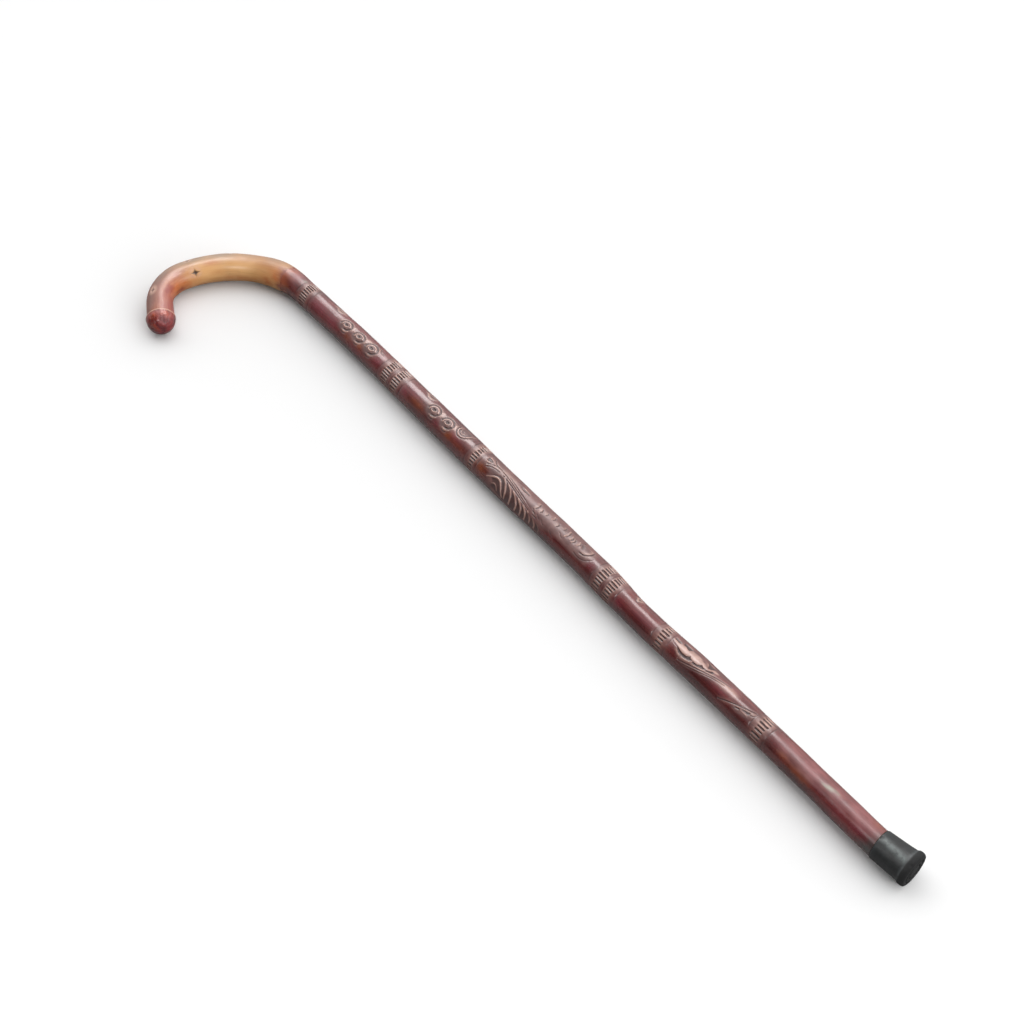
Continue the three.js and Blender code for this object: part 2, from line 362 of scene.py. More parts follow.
def rolled(name, profile, relief):
    """Rolls a grid into a closed skin. profile has each row's station and radius; relief is added to the radii."""
    rows, columns = relief.shape
    select_nothing()
    bpy.ops.mesh.primitive_grid_add(x_subdivisions=rows - 1, y_subdivisions=columns, size=1)
    piece = bpy.context.object
    piece.name = name
    flat = points_of(piece)
    row = np.rint((flat[:, 0] + 0.5) * (rows - 1)).astype(int)
    column = np.rint((flat[:, 1] + 0.5) * columns).astype(int)
    station, radius = profile[row].T
    radius = radius + relief[row, column % columns]
    move_points(piece, on_stick(station, -column * 360.0 / columns, radius))
    edit("EDIT")
    bpy.ops.mesh.select_all(action="SELECT")
    bpy.ops.mesh.remove_doubles(threshold=1e-7)
    bpy.ops.mesh.normals_make_consistent(inside=False)
    edit("OBJECT")
    return piece


# %% [markdown]
# The carving, drawn flat
#
# The bands run right round the shaft. The scrolls, leaves, ribs, ticks and scallops between them are
# drawn once on half of the way round and repeat on the other half, which the photograph doesn't show.
# Each cut has a real size: a knife groove is about 1 mm wide and half a millimetre deep.

# %% The flat pattern and the carver's tools
CARVED_ROWS = 1800
COLUMNS = 224
HALF = COLUMNS // 2
HALF_TURN = 180.0
GIRTH_RADIUS = 12.2  # the radius at which the pattern is drawn
PER_DEGREE = math.radians(1) * GIRTH_RADIUS  # mm round the shaft for one degree
SHOULDER = 759.7

pattern_station = np.linspace(JOINT + 0.02, SHOULDER, CARVED_ROWS)
pattern_angle = -np.arange(HALF) * 360.0 / COLUMNS
relief = np.zeros((CARVED_ROWS, HALF))
worked = np.zeros_like(relief)  # where the knife took the polish off
pale_and_highlight = np.zeros_like(relief)  # raised flats that are lighter, most of them with a painted highlight


def drawn(points, spacing=0.7):
    """A smooth line through points of station and angle."""
    points = np.array(points, float)
    if len(points) < 3:
        return points
    gaps = np.hypot(np.diff(points[:, 0]), np.diff(points[:, 1]) * PER_DEGREE)
    place = np.concatenate([[0], np.cumsum(gaps)])
    at = np.linspace(0, place[-1], max(int(place[-1] / spacing), 4))
    return np.stack([smooth(np.stack([place, points[:, k]], -1))(at) for k in (0, 1)], -1)


def patch(points, reach):
    """The rows of the pattern near some points, with their stations and their angles in mm."""
    low, high = points[:, 0].min() - reach, points[:, 0].max() + reach
    rows = slice(*np.searchsorted(pattern_station, (low, high)))
    centre = (points[:, 1].min() + points[:, 1].max()) / 2
    angle = (pattern_angle - centre + HALF_TURN / 2) % HALF_TURN - HALF_TURN / 2 + centre
    return rows, pattern_station[rows, None], angle[None, :] * PER_DEGREE


def distance(points, reach):
    """Distance in mm of the pattern's cells from a line."""
    rows, s, a = patch(points, reach)
    best = np.full((s.shape[0], a.shape[1]), np.inf)
    ends = points * (1, PER_DEGREE)
    for (s0, a0), (s1, a1) in zip(ends[:-1], ends[1:]):
        length = max((s1 - s0) ** 2 + (a1 - a0) ** 2, 1e-9)
        t = np.clip(((s - s0) * (s1 - s0) + (a - a0) * (a1 - a0)) / length, 0, 1)
        best = np.minimum(best, np.hypot(s - s0 - t * (s1 - s0), a - a0 - t * (a1 - a0)))
    return rows, best


def groove(points, width=1.1, depth=0.5):
    """A knife cut: deepest along its middle."""
    rows, far = distance(drawn(points), width)
    cut = -depth * np.clip(1 - (2 * far / width) ** 2, 0, 1)
    relief[rows] = np.minimum(relief[rows], cut)


def ridge(points, width=1.2, height=0.12):
    """A raised line, left standing or higher than the wood beside it."""
    rows, far = distance(drawn(points), width)
    inside = 2 * far < width
    top = height - 0.5 * (2 * far / width) ** 4
    relief[rows] = np.where(inside, np.maximum(relief[rows], top), relief[rows])


def hollow(station, angle, size, depth=0.6):
    """A round or oval pit. size is its half length along and across."""
    rows, s, a = patch(np.array([[station, angle]], float), max(size) + 1)
    far = np.hypot((s - station) / size[0], (a - angle * PER_DEGREE) / size[1])
    relief[rows] = np.minimum(relief[rows], -depth * np.clip(1 - far ** 2, 0, 1))


def inside_of(outline):
    """Rows near an outline, which cells lie inside it, and their distance in mm from its edge."""
    outline = np.array(list(outline) + [outline[0]], float)
    rows, far = distance(outline, 2.0)
    _, s, a = patch(outline, 2.0)
    inside = np.zeros(far.shape, bool)
    ends = outline * (1, PER_DEGREE)
    for (s0, a0), (s1, a1) in zip(ends[:-1], ends[1:]):
        crosses = (a0 > a) != (a1 > a)
        where = s0 + (a - a0) * (s1 - s0) / (a1 - a0 if a1 != a0 else 1e-9)
        inside ^= crosses & (s < where)
    return rows, inside, far


def sunk(outline, depth=0.35, slope=0.9):
    """Lowers the ground inside an outline, with sloping sides."""
    rows, inside, far = inside_of(outline)
    down = -depth * np.clip(far / slope, 0, 1)
    relief[rows] = np.where(inside, np.minimum(relief[rows], down), relief[rows])


def tint(sheet, outline, amount, soft=1.0):
    """Marks the inside of an outline on a sheet for the material, with a soft edge."""
    rows, inside, far = inside_of(outline)
    value = amount * np.clip(0.5 + np.where(inside, far, -far) / soft, 0, 1)
    sheet[rows] = np.maximum(sheet[rows], value)


# %% [markdown]
# Scrolls
#
# Two groups of three scrolls run along the shaft like a wave. Each is a round boss inside a ring groove:
# a raised line curls over an eye, runs under it and ends at a second, crescent-shaped eye.

# %% The scrolls
SCROLL_OVAL = (9.0, 36.0)  # half length in mm and half height in degrees of the lowered ground


def scroll(station, angle, size=1.0, depth=0.45, last=False):
    def at(pairs):
        return [(station + s * size, angle + a * size) for s, a in pairs]

    turn = np.radians(np.arange(0, 360, 20))
    oval = at([(SCROLL_OVAL[0] * math.cos(t), 4 + SCROLL_OVAL[1] * math.sin(t)) for t in turn])
    sunk(oval, depth=0.3, slope=3)
    tint(worked, oval, 0.85, 2.0)
    brow = at([(-8, -2), (-6.2, -16), (-3, -26), (1, -29.5), (4.8, -25), (8, -14), (9, -4), (8.4, 8)])
    ridge(brow, 2.0, 0.2)
    ring_cut = at([(-6.4, 8), (-5.6, -6), (-3.4, -18), (0, -24), (3.8, -20.5), (6.6, -11), (7.6, 0), (6.8, 10)])
    groove(ring_cut, 1.5, depth * 1.4)
    ridge(at([(-4.8, 10), (-4.2, -4), (-1.8, -14.5), (1, -16), (4, -9.5), (5.2, 0)]), 1.6, 0.12)
    hollow(*at([(-0.3, 0)])[0], (2.5 * size, 1.9 * size), depth * 2.4)
    ridge(at([(-2.8, 7), (-0.8, 10), (1.6, 8), (3, 2)]), 1.3, 0.06)
    groove(at([(6, 9), (5.2, 15), (3.8, 20), (1.4, 23)]), 2.4, depth * 1.8)
    ridge(at([(-1, 29), (1.4, 31), (4.4, 29), (7, 22)]), 1.5, 0.2)
    groove(at([(-0.4, 37), (2.2, 39.5), (4.6, 36)]), 1.2, depth)
    if not last:
        ridge(at([(8, -14), (10.2, -20), (13, -20)]), 2.0, 0.14)
        # painted highlight on the link to the next scroll
        tint(pale_and_highlight, at([(7.6, -22), (11, -26), (11.8, -8), (10.5, 6), (8.2, 6), (9, -8)]), 0.55, 1.5)


scroll(74, 7, size=0.96)
scroll(93.5, 9, size=0.95, depth=0.38)
scroll(112.5, 8, size=1.06, depth=0.42, last=True)
scroll(208, 8)
scroll(227.5, 8)
# painted highlight on the link after the third scroll
tint(pale_and_highlight, [(102, -16), (105.5, -22), (108, -14), (105, -4), (102.5, -3)], 0.7, 1.5)

# the smaller scroll that turns over the top of the shaft, with its long tail
tint(worked, [(238, -38), (238, 2), (243, 18), (249, 20), (256, -2), (257, -38)], 0.8, 2.0)
sunk([(240, -10), (241, 3), (244, 11), (248, 11), (251, 4), (254, -10), (253, -34), (242, -34)], 0.3, 1.5)
groove([(238.6, -24), (238.2, -8), (239.8, 6), (243, 17), (247, 18.5), (250.5, 11), (253.5, -3), (255.5, -22)],
       1.2, 0.6)
ridge([(239.6, -22), (239.7, -8), (241.2, 4), (244, 12.5), (247.5, 13), (250.2, 7), (252.5, -6)], 1.2, 0.12)
groove([(241, -18), (241.4, -5), (243.4, 4.5), (246.5, 5.5), (249, -1), (250.2, -12)], 1.0, 0.5)
ridge([(242.2, -14), (243.4, -3), (245.8, 0.5), (248, -6)], 0.9, 0.0)
hollow(245.2, -11, (1.2, 1.0), 0.6)
ridge([(252.8, -8), (255, -24), (256.5, -38)], 1.3, 0.15)

# leaves cut across the top between the plain stretches
for station, length, depth, shine in ((55.5, 10.0, 0.4, 0.8), (193.5, 11.5, 0.4, 0.6), (478.5, 5.5, 0.45, 1.0)):
    half = length / 2

    def on_leaf(pairs):
        return [(station + half * s, a) for s, a in pairs]

    leaf = on_leaf([(-1, -40), (-0.7, -28), (0, -21), (0.7, -24), (1, -33), (1, -46)])
    sunk(leaf, depth, 1.4)
    # painted highlight on the leaf's flat and on its rim
    tint(pale_and_highlight, leaf, shine, 1.5)
    ridge(on_leaf([(-1, -33), (-1 / 3, -20), (0.5, -20), (1, -29)]), 1.3, 0.4)
    groove(on_leaf([(-1, -24), (-1 / 3, -14), (0.5, -13), (1, -20)]), 1.0, 0.35)
    rim = on_leaf([(-1, -35), (-1 / 3, -23), (0.5, -23), (1, -31), (1, -27), (0.5, -17), (-1 / 3, -17), (-1, -29)])
    tint(pale_and_highlight, rim, 0.9, 0.8)
groove([(120, -24), (120.8, -14), (123, -9), (127, -8)], 1.1, 0.4)
ridge([(118.5, -26), (119.4, -17), (121.5, -5)], 1.0, 0.14)
hollow(489, -34, (1.4, 0.9), 0.5)
print("scrolls: deepest cut", round(relief.min(), 2), "mm")

# %% [markdown]
# The feathered part
#
# Below the third band, a loop opens into a long midrib of several lines. Arched ribs spring from its
# underside, and short curved ticks follow it, down to a hook.

# %% The loop, the midrib and the ribs
tint(worked, [(280, -50), (280, 12), (292, 24), (294, 60), (300, 96), (366, 96), (366, 62), (380, 40), (404, 46),
              (423, 42), (424, -50)], 0.8, 3.0)
# painted sheen over the top of the loop and the midrib
tint(pale_and_highlight, [(293, -12), (300, -22), (312, -20), (322, -18), (324, -8), (312, -2), (300, 0), (293, 6)], 0.35, 3.0)
sunk([(282, -14), (286, -14), (289.5, -7), (288, 0), (285, 5), (282, 4)], 0.6, 0.9)
ridge([(281, -17), (285.5, -16), (289, -10), (293, -5)], 1.4, 0.34)
ridge([(280.6, -16), (280.2, -4), (281.4, 8), (285, 9), (289, 2), (293, -4)], 1.5, 0.36)
groove([(288.5, -24), (291.5, -14), (294.5, -9), (301, -8)], 1.1, 0.6)
groove([(285.5, 15), (289, 8), (292, 0), (295, -6)], 1.1, 0.6)
ridge([(290, -23), (293, -15), (297, -12), (301, -14)], 1.4, 0.16)
ridge([(286.5, 20), (290.5, 8), (295, 0), (300, -2.5), (306, 1), (310.5, 7)], 1.8, 0.4)
groove([(287.5, 25), (291.5, 14), (297, 7), (301, 6)], 0.9, 0.45)
groove([(302, -7), (308, -4), (315, 1), (322, 8), (330, 16), (340, 28), (350, 37), (357, 42)], 0.9, 0.55)
ridge([(309, -7), (316, -1), (323, 5.5), (331, 13.5), (341, 25), (352, 35), (359, 40)], 1.0, 0.14)
groove([(312, -10), (318, -4.5), (325, 2), (333, 10), (343, 21), (354, 31)], 0.9, 0.5)
ridge([(315, -13), (321, -8), (327, 0), (334, 6), (342, 17), (350, 25)], 1.4, 0.38)
ridge([(311, 4), (318, 8), (326, 15), (334, 24), (344, 33), (352, 39)], 1.0, 0.12)
groove([(306, 6), (314, 10), (322, 16), (331, 25), (341, 34), (349, 41)], 0.9, 0.5)
ridge([(317, -16), (322, -21), (328, -22), (331, -20)], 1.3, 0.16)
sunk([(325, -17), (331, -19), (337.5, -17), (337.5, -9), (331, -6), (326.5, -10)], 0.6, 1.0)
ridge([(338, -16), (339.5, -10), (337.5, -4)], 1.0, 0.1)

RIB_GROUND = [(296, 42), (299, 22), (304, 10), (312, 11), (322, 22), (334, 33), (346, 43), (358, 50), (366, 60),
              (368, 92), (345, 96), (318, 96), (300, 80), (301, 60)]
sunk(RIB_GROUND, 0.38, 1.8)
ridge([(293.5, 53), (297, 43), (300.5, 33), (304.5, 28), (308, 32), (311, 45), (313.5, 62), (316.5, 82)], 1.7, 0.3)
RIBS = [  # where each rib starts under the midrib, and where it ends
    ((308.5, 9), (313, 22), (316.5, 40), (318.5, 60), (319, 80)),
    ((316, 16), (320.5, 26), (324, 42), (325.8, 62), (326, 82)),
    ((324.5, 24), (328.5, 34), (332, 48), (334.4, 66), (334, 86)),
    ((333, 32), (336.8, 42), (339.8, 56), (341, 72), (340.5, 88)),
    ((340.5, 38), (344, 48), (346.5, 62), (347.2, 76), (346.5, 90)),
    ((347.5, 42), (351, 53), (353, 66), (353.2, 80)),
    ((354, 46), (357.5, 57), (359.5, 70), (359.5, 84)),
    ((360, 51), (364, 61), (366, 76), (365.5, 88)),
]
for rib in RIBS:
    ridge(rib, 2.0, 0.2)
ridge([(301, 62), (304, 55), (307, 60), (309, 76)], 1.3, 0.0)

for station, low, high in ((350.5, -20, 14), (356, -10, 14), (362, -12, 4), (369.5, -22, -2), (376.4, -12, 10),
                           (383.6, -22, -4), (390, -22, 14), (395.6, -12, 8), (398.4, -10, 12), (404, -16, 6)):
    span = high - low
    ridge([(station - 0.5, low), (station + 0.4, low + span / 2), (station - 0.6, high)], 1.4, 0.42)
    # painted highlight along each tick
    tint(pale_and_highlight, [(station - 1.0, low), (station - 0.1, low + span / 2), (station - 1.1, high), (station + 0.2, high),
                (station + 1.1, low + span / 2), (station + 0.3, low)], 0.6, 0.8)
    groove([(station + 1.0, low + 2), (station + 1.8, low + span / 2), (station + 0.9, high - 2)], 1.1, 0.5)
for station, angle in ((352, 26), (358.5, 31), (365, 37), (386, 22), (378, 46)):
    groove([(station - 2.4, angle - 7), (station, angle + 1), (station + 2.2, angle + 5)], 1.0, 0.32)

ridge([(418, -26), (418, -12), (416.5, 0), (413.5, 9), (411, 11)], 1.7, 0.42)
# painted highlight along the hook's ridge
tint(pale_and_highlight, [(417.2, -26), (417.2, -12), (415.7, 0), (413, 8), (411, 10), (411.6, 13), (414.4, 10), (417.6, 1),
            (419, -12), (419, -26)], 0.6, 0.8)
groove([(419.7, -24), (419.7, -8), (417.9, 5), (414.4, 17), (410.5, 19)], 1.3, 0.65)
sunk([(404.5, -26), (409.5, -20), (412, -8), (411, 4), (409, 8), (406, -6)], 0.35, 1.6)
ridge([(404, 54), (410, 57), (415, 48), (420, 40)], 1.0, 0.1)
groove([(406, 34), (412, 38), (418, 32), (423, 17)], 0.9, 0.3)
groove([(421, 20), (424, 8), (424.5, -2)], 0.9, 0.3)
hollow(406.5, -31, (2.0, 1.2), 0.4)

# %% [markdown]
# Scallops and slanting lines
#
# Between the last two bands a wavy ribbon climbs over the top. The ground beside it is cut away in
# steps, and two pairs of raised lines slant up after it.

# %% The scalloped ribbon and the slanting lines
RIBBON_TOP = [(526, -4), (528.5, -8), (531.5, -3), (533.5, -7), (537.5, -12), (541, -9), (543, -10), (545, -18),
              (548, -23), (553, -22), (556.5, -18), (558, -12), (561.5, -14), (564, -6), (565.6, -4),
              (568, -10), (570, -19), (574.5, -25)]
RIBBON_FOOT = [(575.5, -15), (572, -12), (569.5, -14), (567.5, -5), (565, 1), (562, 2), (559.6, -3), (558, 2),
               (556, 10), (553, 13), (549, 9), (547.2, 2), (546.4, 8), (544, 13), (540, 13.5), (536, 10),
               (530, 4)]
# the ribbon is lighter wood with a painted highlight over it
tint(pale_and_highlight, RIBBON_TOP + RIBBON_FOOT, 0.95, 0.7)
tint(worked, [(526, -60), (526, 10), (534, 14), (542, 18), (550, 2), (562, -8), (576, -24), (600, -36), (600, -60)],
     0.6, 3.0)
sunk([(525.5, -18), (533, -15), (535, -9), (532.6, -3.5), (527, -6)], 0.5, 0.8)
sunk([(535, -28), (546, -27), (544.2, -15), (543.2, -6), (541.2, -6), (538.5, -12), (535.5, -11)], 0.5, 0.8)
sunk([(560, -36), (571, -32), (569.6, -20), (567.6, -10), (565.6, -5), (564.2, -9), (562.8, -22)], 0.5, 0.8)
SCOOPS = [
    [(532, 10), (536, 13.5), (540, 17), (544, 16.5), (546.6, 10), (547.4, 5), (549, 12), (551.5, 15.5), (549, 27),
     (543, 33), (537, 30)],
    [(551.5, 16), (556, 13.5), (558.6, 5), (559.8, 0), (562, 5), (565.4, 4), (563, 14), (557, 22), (552.5, 25)],
    [(565.6, 4.5), (568, -3), (569.6, -11), (572.5, -9), (571.5, 0), (567.5, 8), (564, 12)],
]
for scoop in SCOOPS:
    sunk(scoop, 0.8, 0.9)
groove([(526, 3), (529, 10), (533.5, 14), (537, 26), (541, 34)], 0.9, 0.25)
# painted highlight on the flat after the ribbon
tint(pale_and_highlight, [(576, 4), (584, -7), (592, -14), (600, -10), (600, 8), (590, 14), (582, 12)], 0.6, 3.0)
tint(worked, [(602, 44), (606, 24), (614, 8), (622, -14), (624, 24), (616, 40)], 0.8, 3.0)
SLANTS = [  # two lines that slant up, and their width
    ([(540, 47), (550, 34.5), (560, 21), (570, 6), (580, -8), (590, -19), (597, -25)], 1.3),
    ([(587.5, 50), (597, 30), (607, 12), (615, -2), (621.5, -16)], 1.4),
]
for lift, height in ((-0.5, 0.38), (7.5, 0.34)):
    for line, width in SLANTS:
        ridge([(s, a + lift) for s, a in line], width, height)
groove([(541, 50.5), (551, 38), (561, 24.5), (571, 9.5), (581, -4.5), (591, -15.5)], 1.0, 0.45)
groove([(588, 54), (598, 33.8), (608, 15.6), (616, 1.6), (621.5, -9)], 1.1, 0.5)
groove([(546, 53), (556, 41), (566, 26), (576, 11), (586, 0)], 0.9, 0.35)
sunk([(603, 32), (607.5, 24), (609.6, 24), (609.2, 31), (604.5, 37)], 0.6, 0.8)
sunk([(610, 19), (617.5, 6), (618.6, 12), (617.5, 23), (610.6, 23)], 0.6, 0.8)
ridge([(602, 40), (608, 46), (610, 42)], 0.9, 0.1)
ridge([(609.5, 27), (616, 27), (618.5, 31)], 1.0, 0.12)
groove([(619, 16), (621.5, 10), (622, 2)], 0.9, 0.35)

# %% [markdown]
# The notched bands
#
# Six bands of short notches go right round. A knife rocks each notch out between two turned grooves, and
# the bars left between them are as wide as the notches. Their number round the shaft differs from band
# to band, because they were spaced by eye.

# %% The notched bands
full_angle = -np.arange(COLUMNS) * 360.0 / COLUMNS
carved = np.concatenate([relief, relief], axis=1)

# edge lines, how far the dull ground leans at each edge, and rows of notches: start, end, number, angle of one
BANDS = [
    dict(low=5.4, high=24.2, lean=(3.0, -3.4), rows=[(10.6, 19.6, 27, 10.0)]),
    dict(low=133.4, high=166.0, lean=(0.5, -1.0), rows=[(138.6, 147.6, 26, 3.0), (152.6, 161.6, 25, 14.0)]),
    dict(low=263.4, high=278.6, lean=(0.5, -0.5), rows=[(268.4, 275.0, 26, 2.5)]),
    dict(low=432.6, high=463.6, lean=(0.5, -2.0), rows=[(436.8, 445.6, 24, 4.5), (450.4, 459.0, 25, 11.0)]),
    dict(low=509.2, high=525.6, lean=(0.5, 0.5), rows=[(514.0, 521.8, 21, 3.5)]),
    dict(low=623.0, high=641.2, lean=(0.5, -0.5), rows=[(627.8, 637.0, 21, 3.5)]),
]
NOTCH_WIDTH = 1.85
NOTCH_DEPTH = 0.95
NOTCH_END = 1.1  # how far a notch takes to reach its depth
EDGE_WIDTH = 1.3
EDGE_DEPTH = 0.34
RIDGE_WIDTH = 1.4
RIDGE_HEIGHT = 0.34

band_zone = np.zeros_like(carved)
for number, band in enumerate(BANDS):
    rows = slice(*np.searchsorted(pattern_station, (band["low"] - 5, band["high"] + 5)))
    s, a = pattern_station[rows, None], full_angle[None, :]
    low = band["low"] + 0.3 * np.sin(np.radians(3 * a + 50 * number))
    high = band["high"] + 0.3 * np.sin(np.radians(2 * a + 80 * number))
    slant = np.sin(np.radians(a - 26))
    ground = [np.clip((s - low - band["lean"][0] * slant + 1) / 2, 0, 1),
              np.clip((high + band["lean"][1] * slant - s + 1) / 2, 0, 1)]
    band_zone[rows] = np.maximum(band_zone[rows], ground[0] * ground[1])
    part = np.where((s > low) & (s < high), 0.0, carved[rows])
    for edge, phase in ((low, 0), (high, 140)):
        worn = 0.65 + 0.35 * np.sin(np.radians(4 * a + phase + 70 * number))
        part = np.minimum(part, -EDGE_DEPTH * worn * np.clip(1 - (2 * (s - edge) / EDGE_WIDTH) ** 2, 0, 1))
    for edge in (low + 2.2, high - 2.2):
        part = np.maximum(part, RIDGE_HEIGHT - (2 * (s - edge) / RIDGE_WIDTH) ** 2)
    for start, end, count, first in band["rows"]:
        pitch = 360.0 / count
        wobble = 1.1 * np.sin(np.radians(7 * a + 40 * number)) + 0.25 * np.sin(s * 0.9 + np.radians(11 * a))
        off = ((a - first + wobble + pitch / 2) % pitch - pitch / 2) * PER_DEGREE
        ragged = 0.55 * np.sin(np.radians(5 * a + 60 * number))
        along = np.clip((s - start - ragged) / NOTCH_END, 0, 1) * np.clip((end - ragged - s) / NOTCH_END, 0, 1)
        across = np.clip(1.2 * (1 - (2 * off / NOTCH_WIDTH) ** 2), 0, 1)
        part = np.minimum(part, -NOTCH_DEPTH * along * across)
    if len(band["rows"]) == 2:
        middle = (band["rows"][0][1] + band["rows"][1][0]) / 2
        part = np.maximum(part, RIDGE_HEIGHT - (2 * (s - middle) / RIDGE_WIDTH) ** 2)
        for side in (-1.6, 1.6):
            part = np.minimum(part, -0.22 * np.clip(1 - ((s - middle - side) / 0.6) ** 2, 0, 1))
    carved[rows] = part
print("bands:", len(BANDS), "deepest cut", round(carved.min(), 2), "mm")

# %% [markdown]
# Soft edges, wear and what the material needs to know
#
# Years of handling round off fresh cuts, so the pattern is blurred very slightly. The hand also rubs
# the stain off what stands proud, which is given a painted highlight as well, and what is cut in is
# darkened with painted shade. Both are found here, by setting each place against the level around it,
# and are stored for the material.

# %% Wear, painted shade and painted highlight from the shape of the carving


def blurred(sheet, millimetres):
    """Blurs a pattern by a distance in mm, along the shaft and right round it."""
    steps = (pattern_station[1] - pattern_station[0], 360.0 / COLUMNS * PER_DEGREE)
    for axis, step in enumerate(steps):
        reach = max(int(round(2.5 * millimetres / step)), 1)
        shifts = np.arange(-reach, reach + 1)
        weights = np.exp(-0.5 * (shifts * step / millimetres) ** 2)
        weights /= weights.sum()
        if axis == 0:
            padded = np.pad(sheet, ((reach, reach), (0, 0)), mode="edge")
            sheet = sum(w * padded[i:i + len(sheet)] for i, w in enumerate(weights))
        else:
            sheet = sum(w * np.roll(sheet, shift, axis=1) for shift, w in zip(shifts, weights))
    return sheet


ROUNDED_OFF = 0.2  # mm that fresh cuts have been softened by
WORK_REACH = 1.6  # mm round a cut where the knife has dulled the wood
HAND_REACH = 1.3  # what stands above the wood within this many mm is worn lighter and gets a painted highlight
SHADE_REACH = 1.8  # what lies below the wood within this many mm is darkened with painted shade
SHAFT_INSET = 0.17  # mm that keep the high places inside the CAD outline

# a hand-shaped stick is never quite round
station_grid, angle_grid = np.meshgrid(pattern_station, full_angle, indexing="ij")
uneven = (0.07 * np.sin(station_grid / 9.1 + np.radians(2 * angle_grid))
          + 0.06 * np.sin(station_grid / 23.0 + np.radians(3 * angle_grid) + 1.0)
          + 0.04 * np.sin(station_grid / 4.7 - np.radians(angle_grid) + 2.0)) - SHAFT_INSET
nearby = np.clip(2.0 * blurred((np.abs(carved) > 0.05).astype(float), WORK_REACH), 0, 1)
worked = np.maximum(np.concatenate([worked, worked], axis=1), 0.6 * nearby)
painted_top_light = 0.55 + 0.45 * np.cos(np.radians(angle_grid + 45))  # painted light: lighter on the side that is turned up towards the light
worked = np.maximum(worked, 0.85 * band_zone * painted_top_light)
pale_and_highlight = blurred(np.concatenate([pale_and_highlight, pale_and_highlight], axis=1), 0.3)
carved = blurred(carved, ROUNDED_OFF)
# worn lighter by the hand, with a painted highlight on top of it
proud = ramp(carved - blurred(carved, HAND_REACH), 0.05, 0.23)
# painted shade: the bars of the bands lose their lightness on the side turned away from the light
proud *= 1 - 0.7 * band_zone * (1 - painted_top_light)
# painted shade: the cuts are darkened by how far they lie below the wood beside them and below the skin
below_its_edge = ramp(blurred(carved, SHADE_REACH) - carved, 0, 0.34)
below_the_skin = ramp(-carved, 0.12, 0.57)
cut = np.clip(0.7 * below_its_edge + 0.75 * below_the_skin, 0, 1)

# %% [markdown]
# The shaft
#
# The pattern is rolled on to the shaft with its taper. The end that goes into the rubber tip is turned
# thinner and left bare, with a small chamfer. The skin starts with about 800,000 triangles, and a decimate
# modifier keeps them where the carving needs them and takes them away where the wood is plain.

# %% The shaft
SEAT_RADIUS = 10.6
SEAT_END = 786.0
CHAMFER = 1.2
DOWEL_HOLE = 4.3
DOWEL_DEPTH = 22.3
SHAFT_TRIANGLES = 190000
CREASE = math.radians(50)  # edges that are sharper than this stay sharp

hole_rows = [(JOINT + DOWEL_DEPTH, 0.0), (JOINT + DOWEL_DEPTH, DOWEL_HOLE), (JOINT + 0.02, DOWEL_HOLE)]
seat_rows = [(at, SEAT_RADIUS) for at in (SHOULDER, 765, 772, 779, SEAT_END - CHAMFER)]
seat_rows += [(SEAT_END, SEAT_RADIUS - CHAMFER), (SEAT_END, 0.0)]
shaft_rows = list(zip(pattern_station, shaft_girth(pattern_station)))
profile = np.array(hole_rows + shaft_rows + seat_rows)
full_relief = np.pad(carved + uneven, ((len(hole_rows), len(seat_rows)), (0, 0)))
shaft = rolled("shaft", profile, full_relief)
full_count = triangles(shaft)
apply_modifier(shaft, "DECIMATE", ratio=SHAFT_TRIANGLES / full_count)
bpy.ops.object.shade_smooth_by_angle(angle=CREASE)
print("shaft:", full_count, "triangles thinned to", triangles(shaft))

# %% [markdown]
# Where the shaft's finish differs
#
# Each point of the finished skin looks up its own station and angle. There it reads the wear, the
# painted highlight and the painted shade off the flat pattern, and takes its share of soft patches, such as
# amber where the stain has worn thin, painted shade along the underside and a painted sheen along the
# top. Their places were judged. At the joint the two colours meet along a ragged line.

# %% The shaft's marks
points = points_of(shaft)
station, angle, radius = off_stick(points, points[:, 0] / MM - NECK[0])


def on_pattern(sheet):
    """Reads a pattern sheet at each point of the shaft."""
    row = np.interp(station, pattern_station, np.arange(CARVED_ROWS))
    column = (-angle % 360) / 360 * COLUMNS
    r0, c0 = np.floor(row).astype(int), np.floor(column).astype(int)
    r1, c1 = np.minimum(r0 + 1, CARVED_ROWS - 1), (c0 + 1) % COLUMNS
    fr, fc = row - r0, column - c0
    top = sheet[r0, c0 % COLUMNS] * (1 - fc) + sheet[r0, c1] * fc
    bottom = sheet[r1, c0 % COLUMNS] * (1 - fc) + sheet[r1, c1] * fc
    return top * (1 - fr) + bottom * fr


def spots(places, stations, angles, per_degree=PER_DEGREE):
    """The greatest of some soft patches: station, angle, half length and half height in mm, and strength."""
    total = np.zeros(np.broadcast_shapes(stations.shape, angles.shape))
    for at, turn, length, height, strength in places:
        across = apart(angles, turn) * per_degree
        total = np.maximum(total, strength * np.exp(-((stations - at) / length) ** 2 - (across / height) ** 2))
    return total


def unbent(station, angle, radius):
    """Where each point would be on a straight stick, in metres, so that the grain follows the bends."""
    turn = np.radians(angle)
    return np.stack([station, -radius * np.sin(turn), radius * np.cos(turn)], -1) * MM


def ragged_edge():
    """How far the change of colour at the joint wanders along the stick, in mm."""
    return (3.0 * np.sin(np.radians(2 * angle + 40)) + 1.6 * np.sin(np.radians(5 * angle))
            + 1.2 * np.sin(np.radians(9 * angle + 70)))


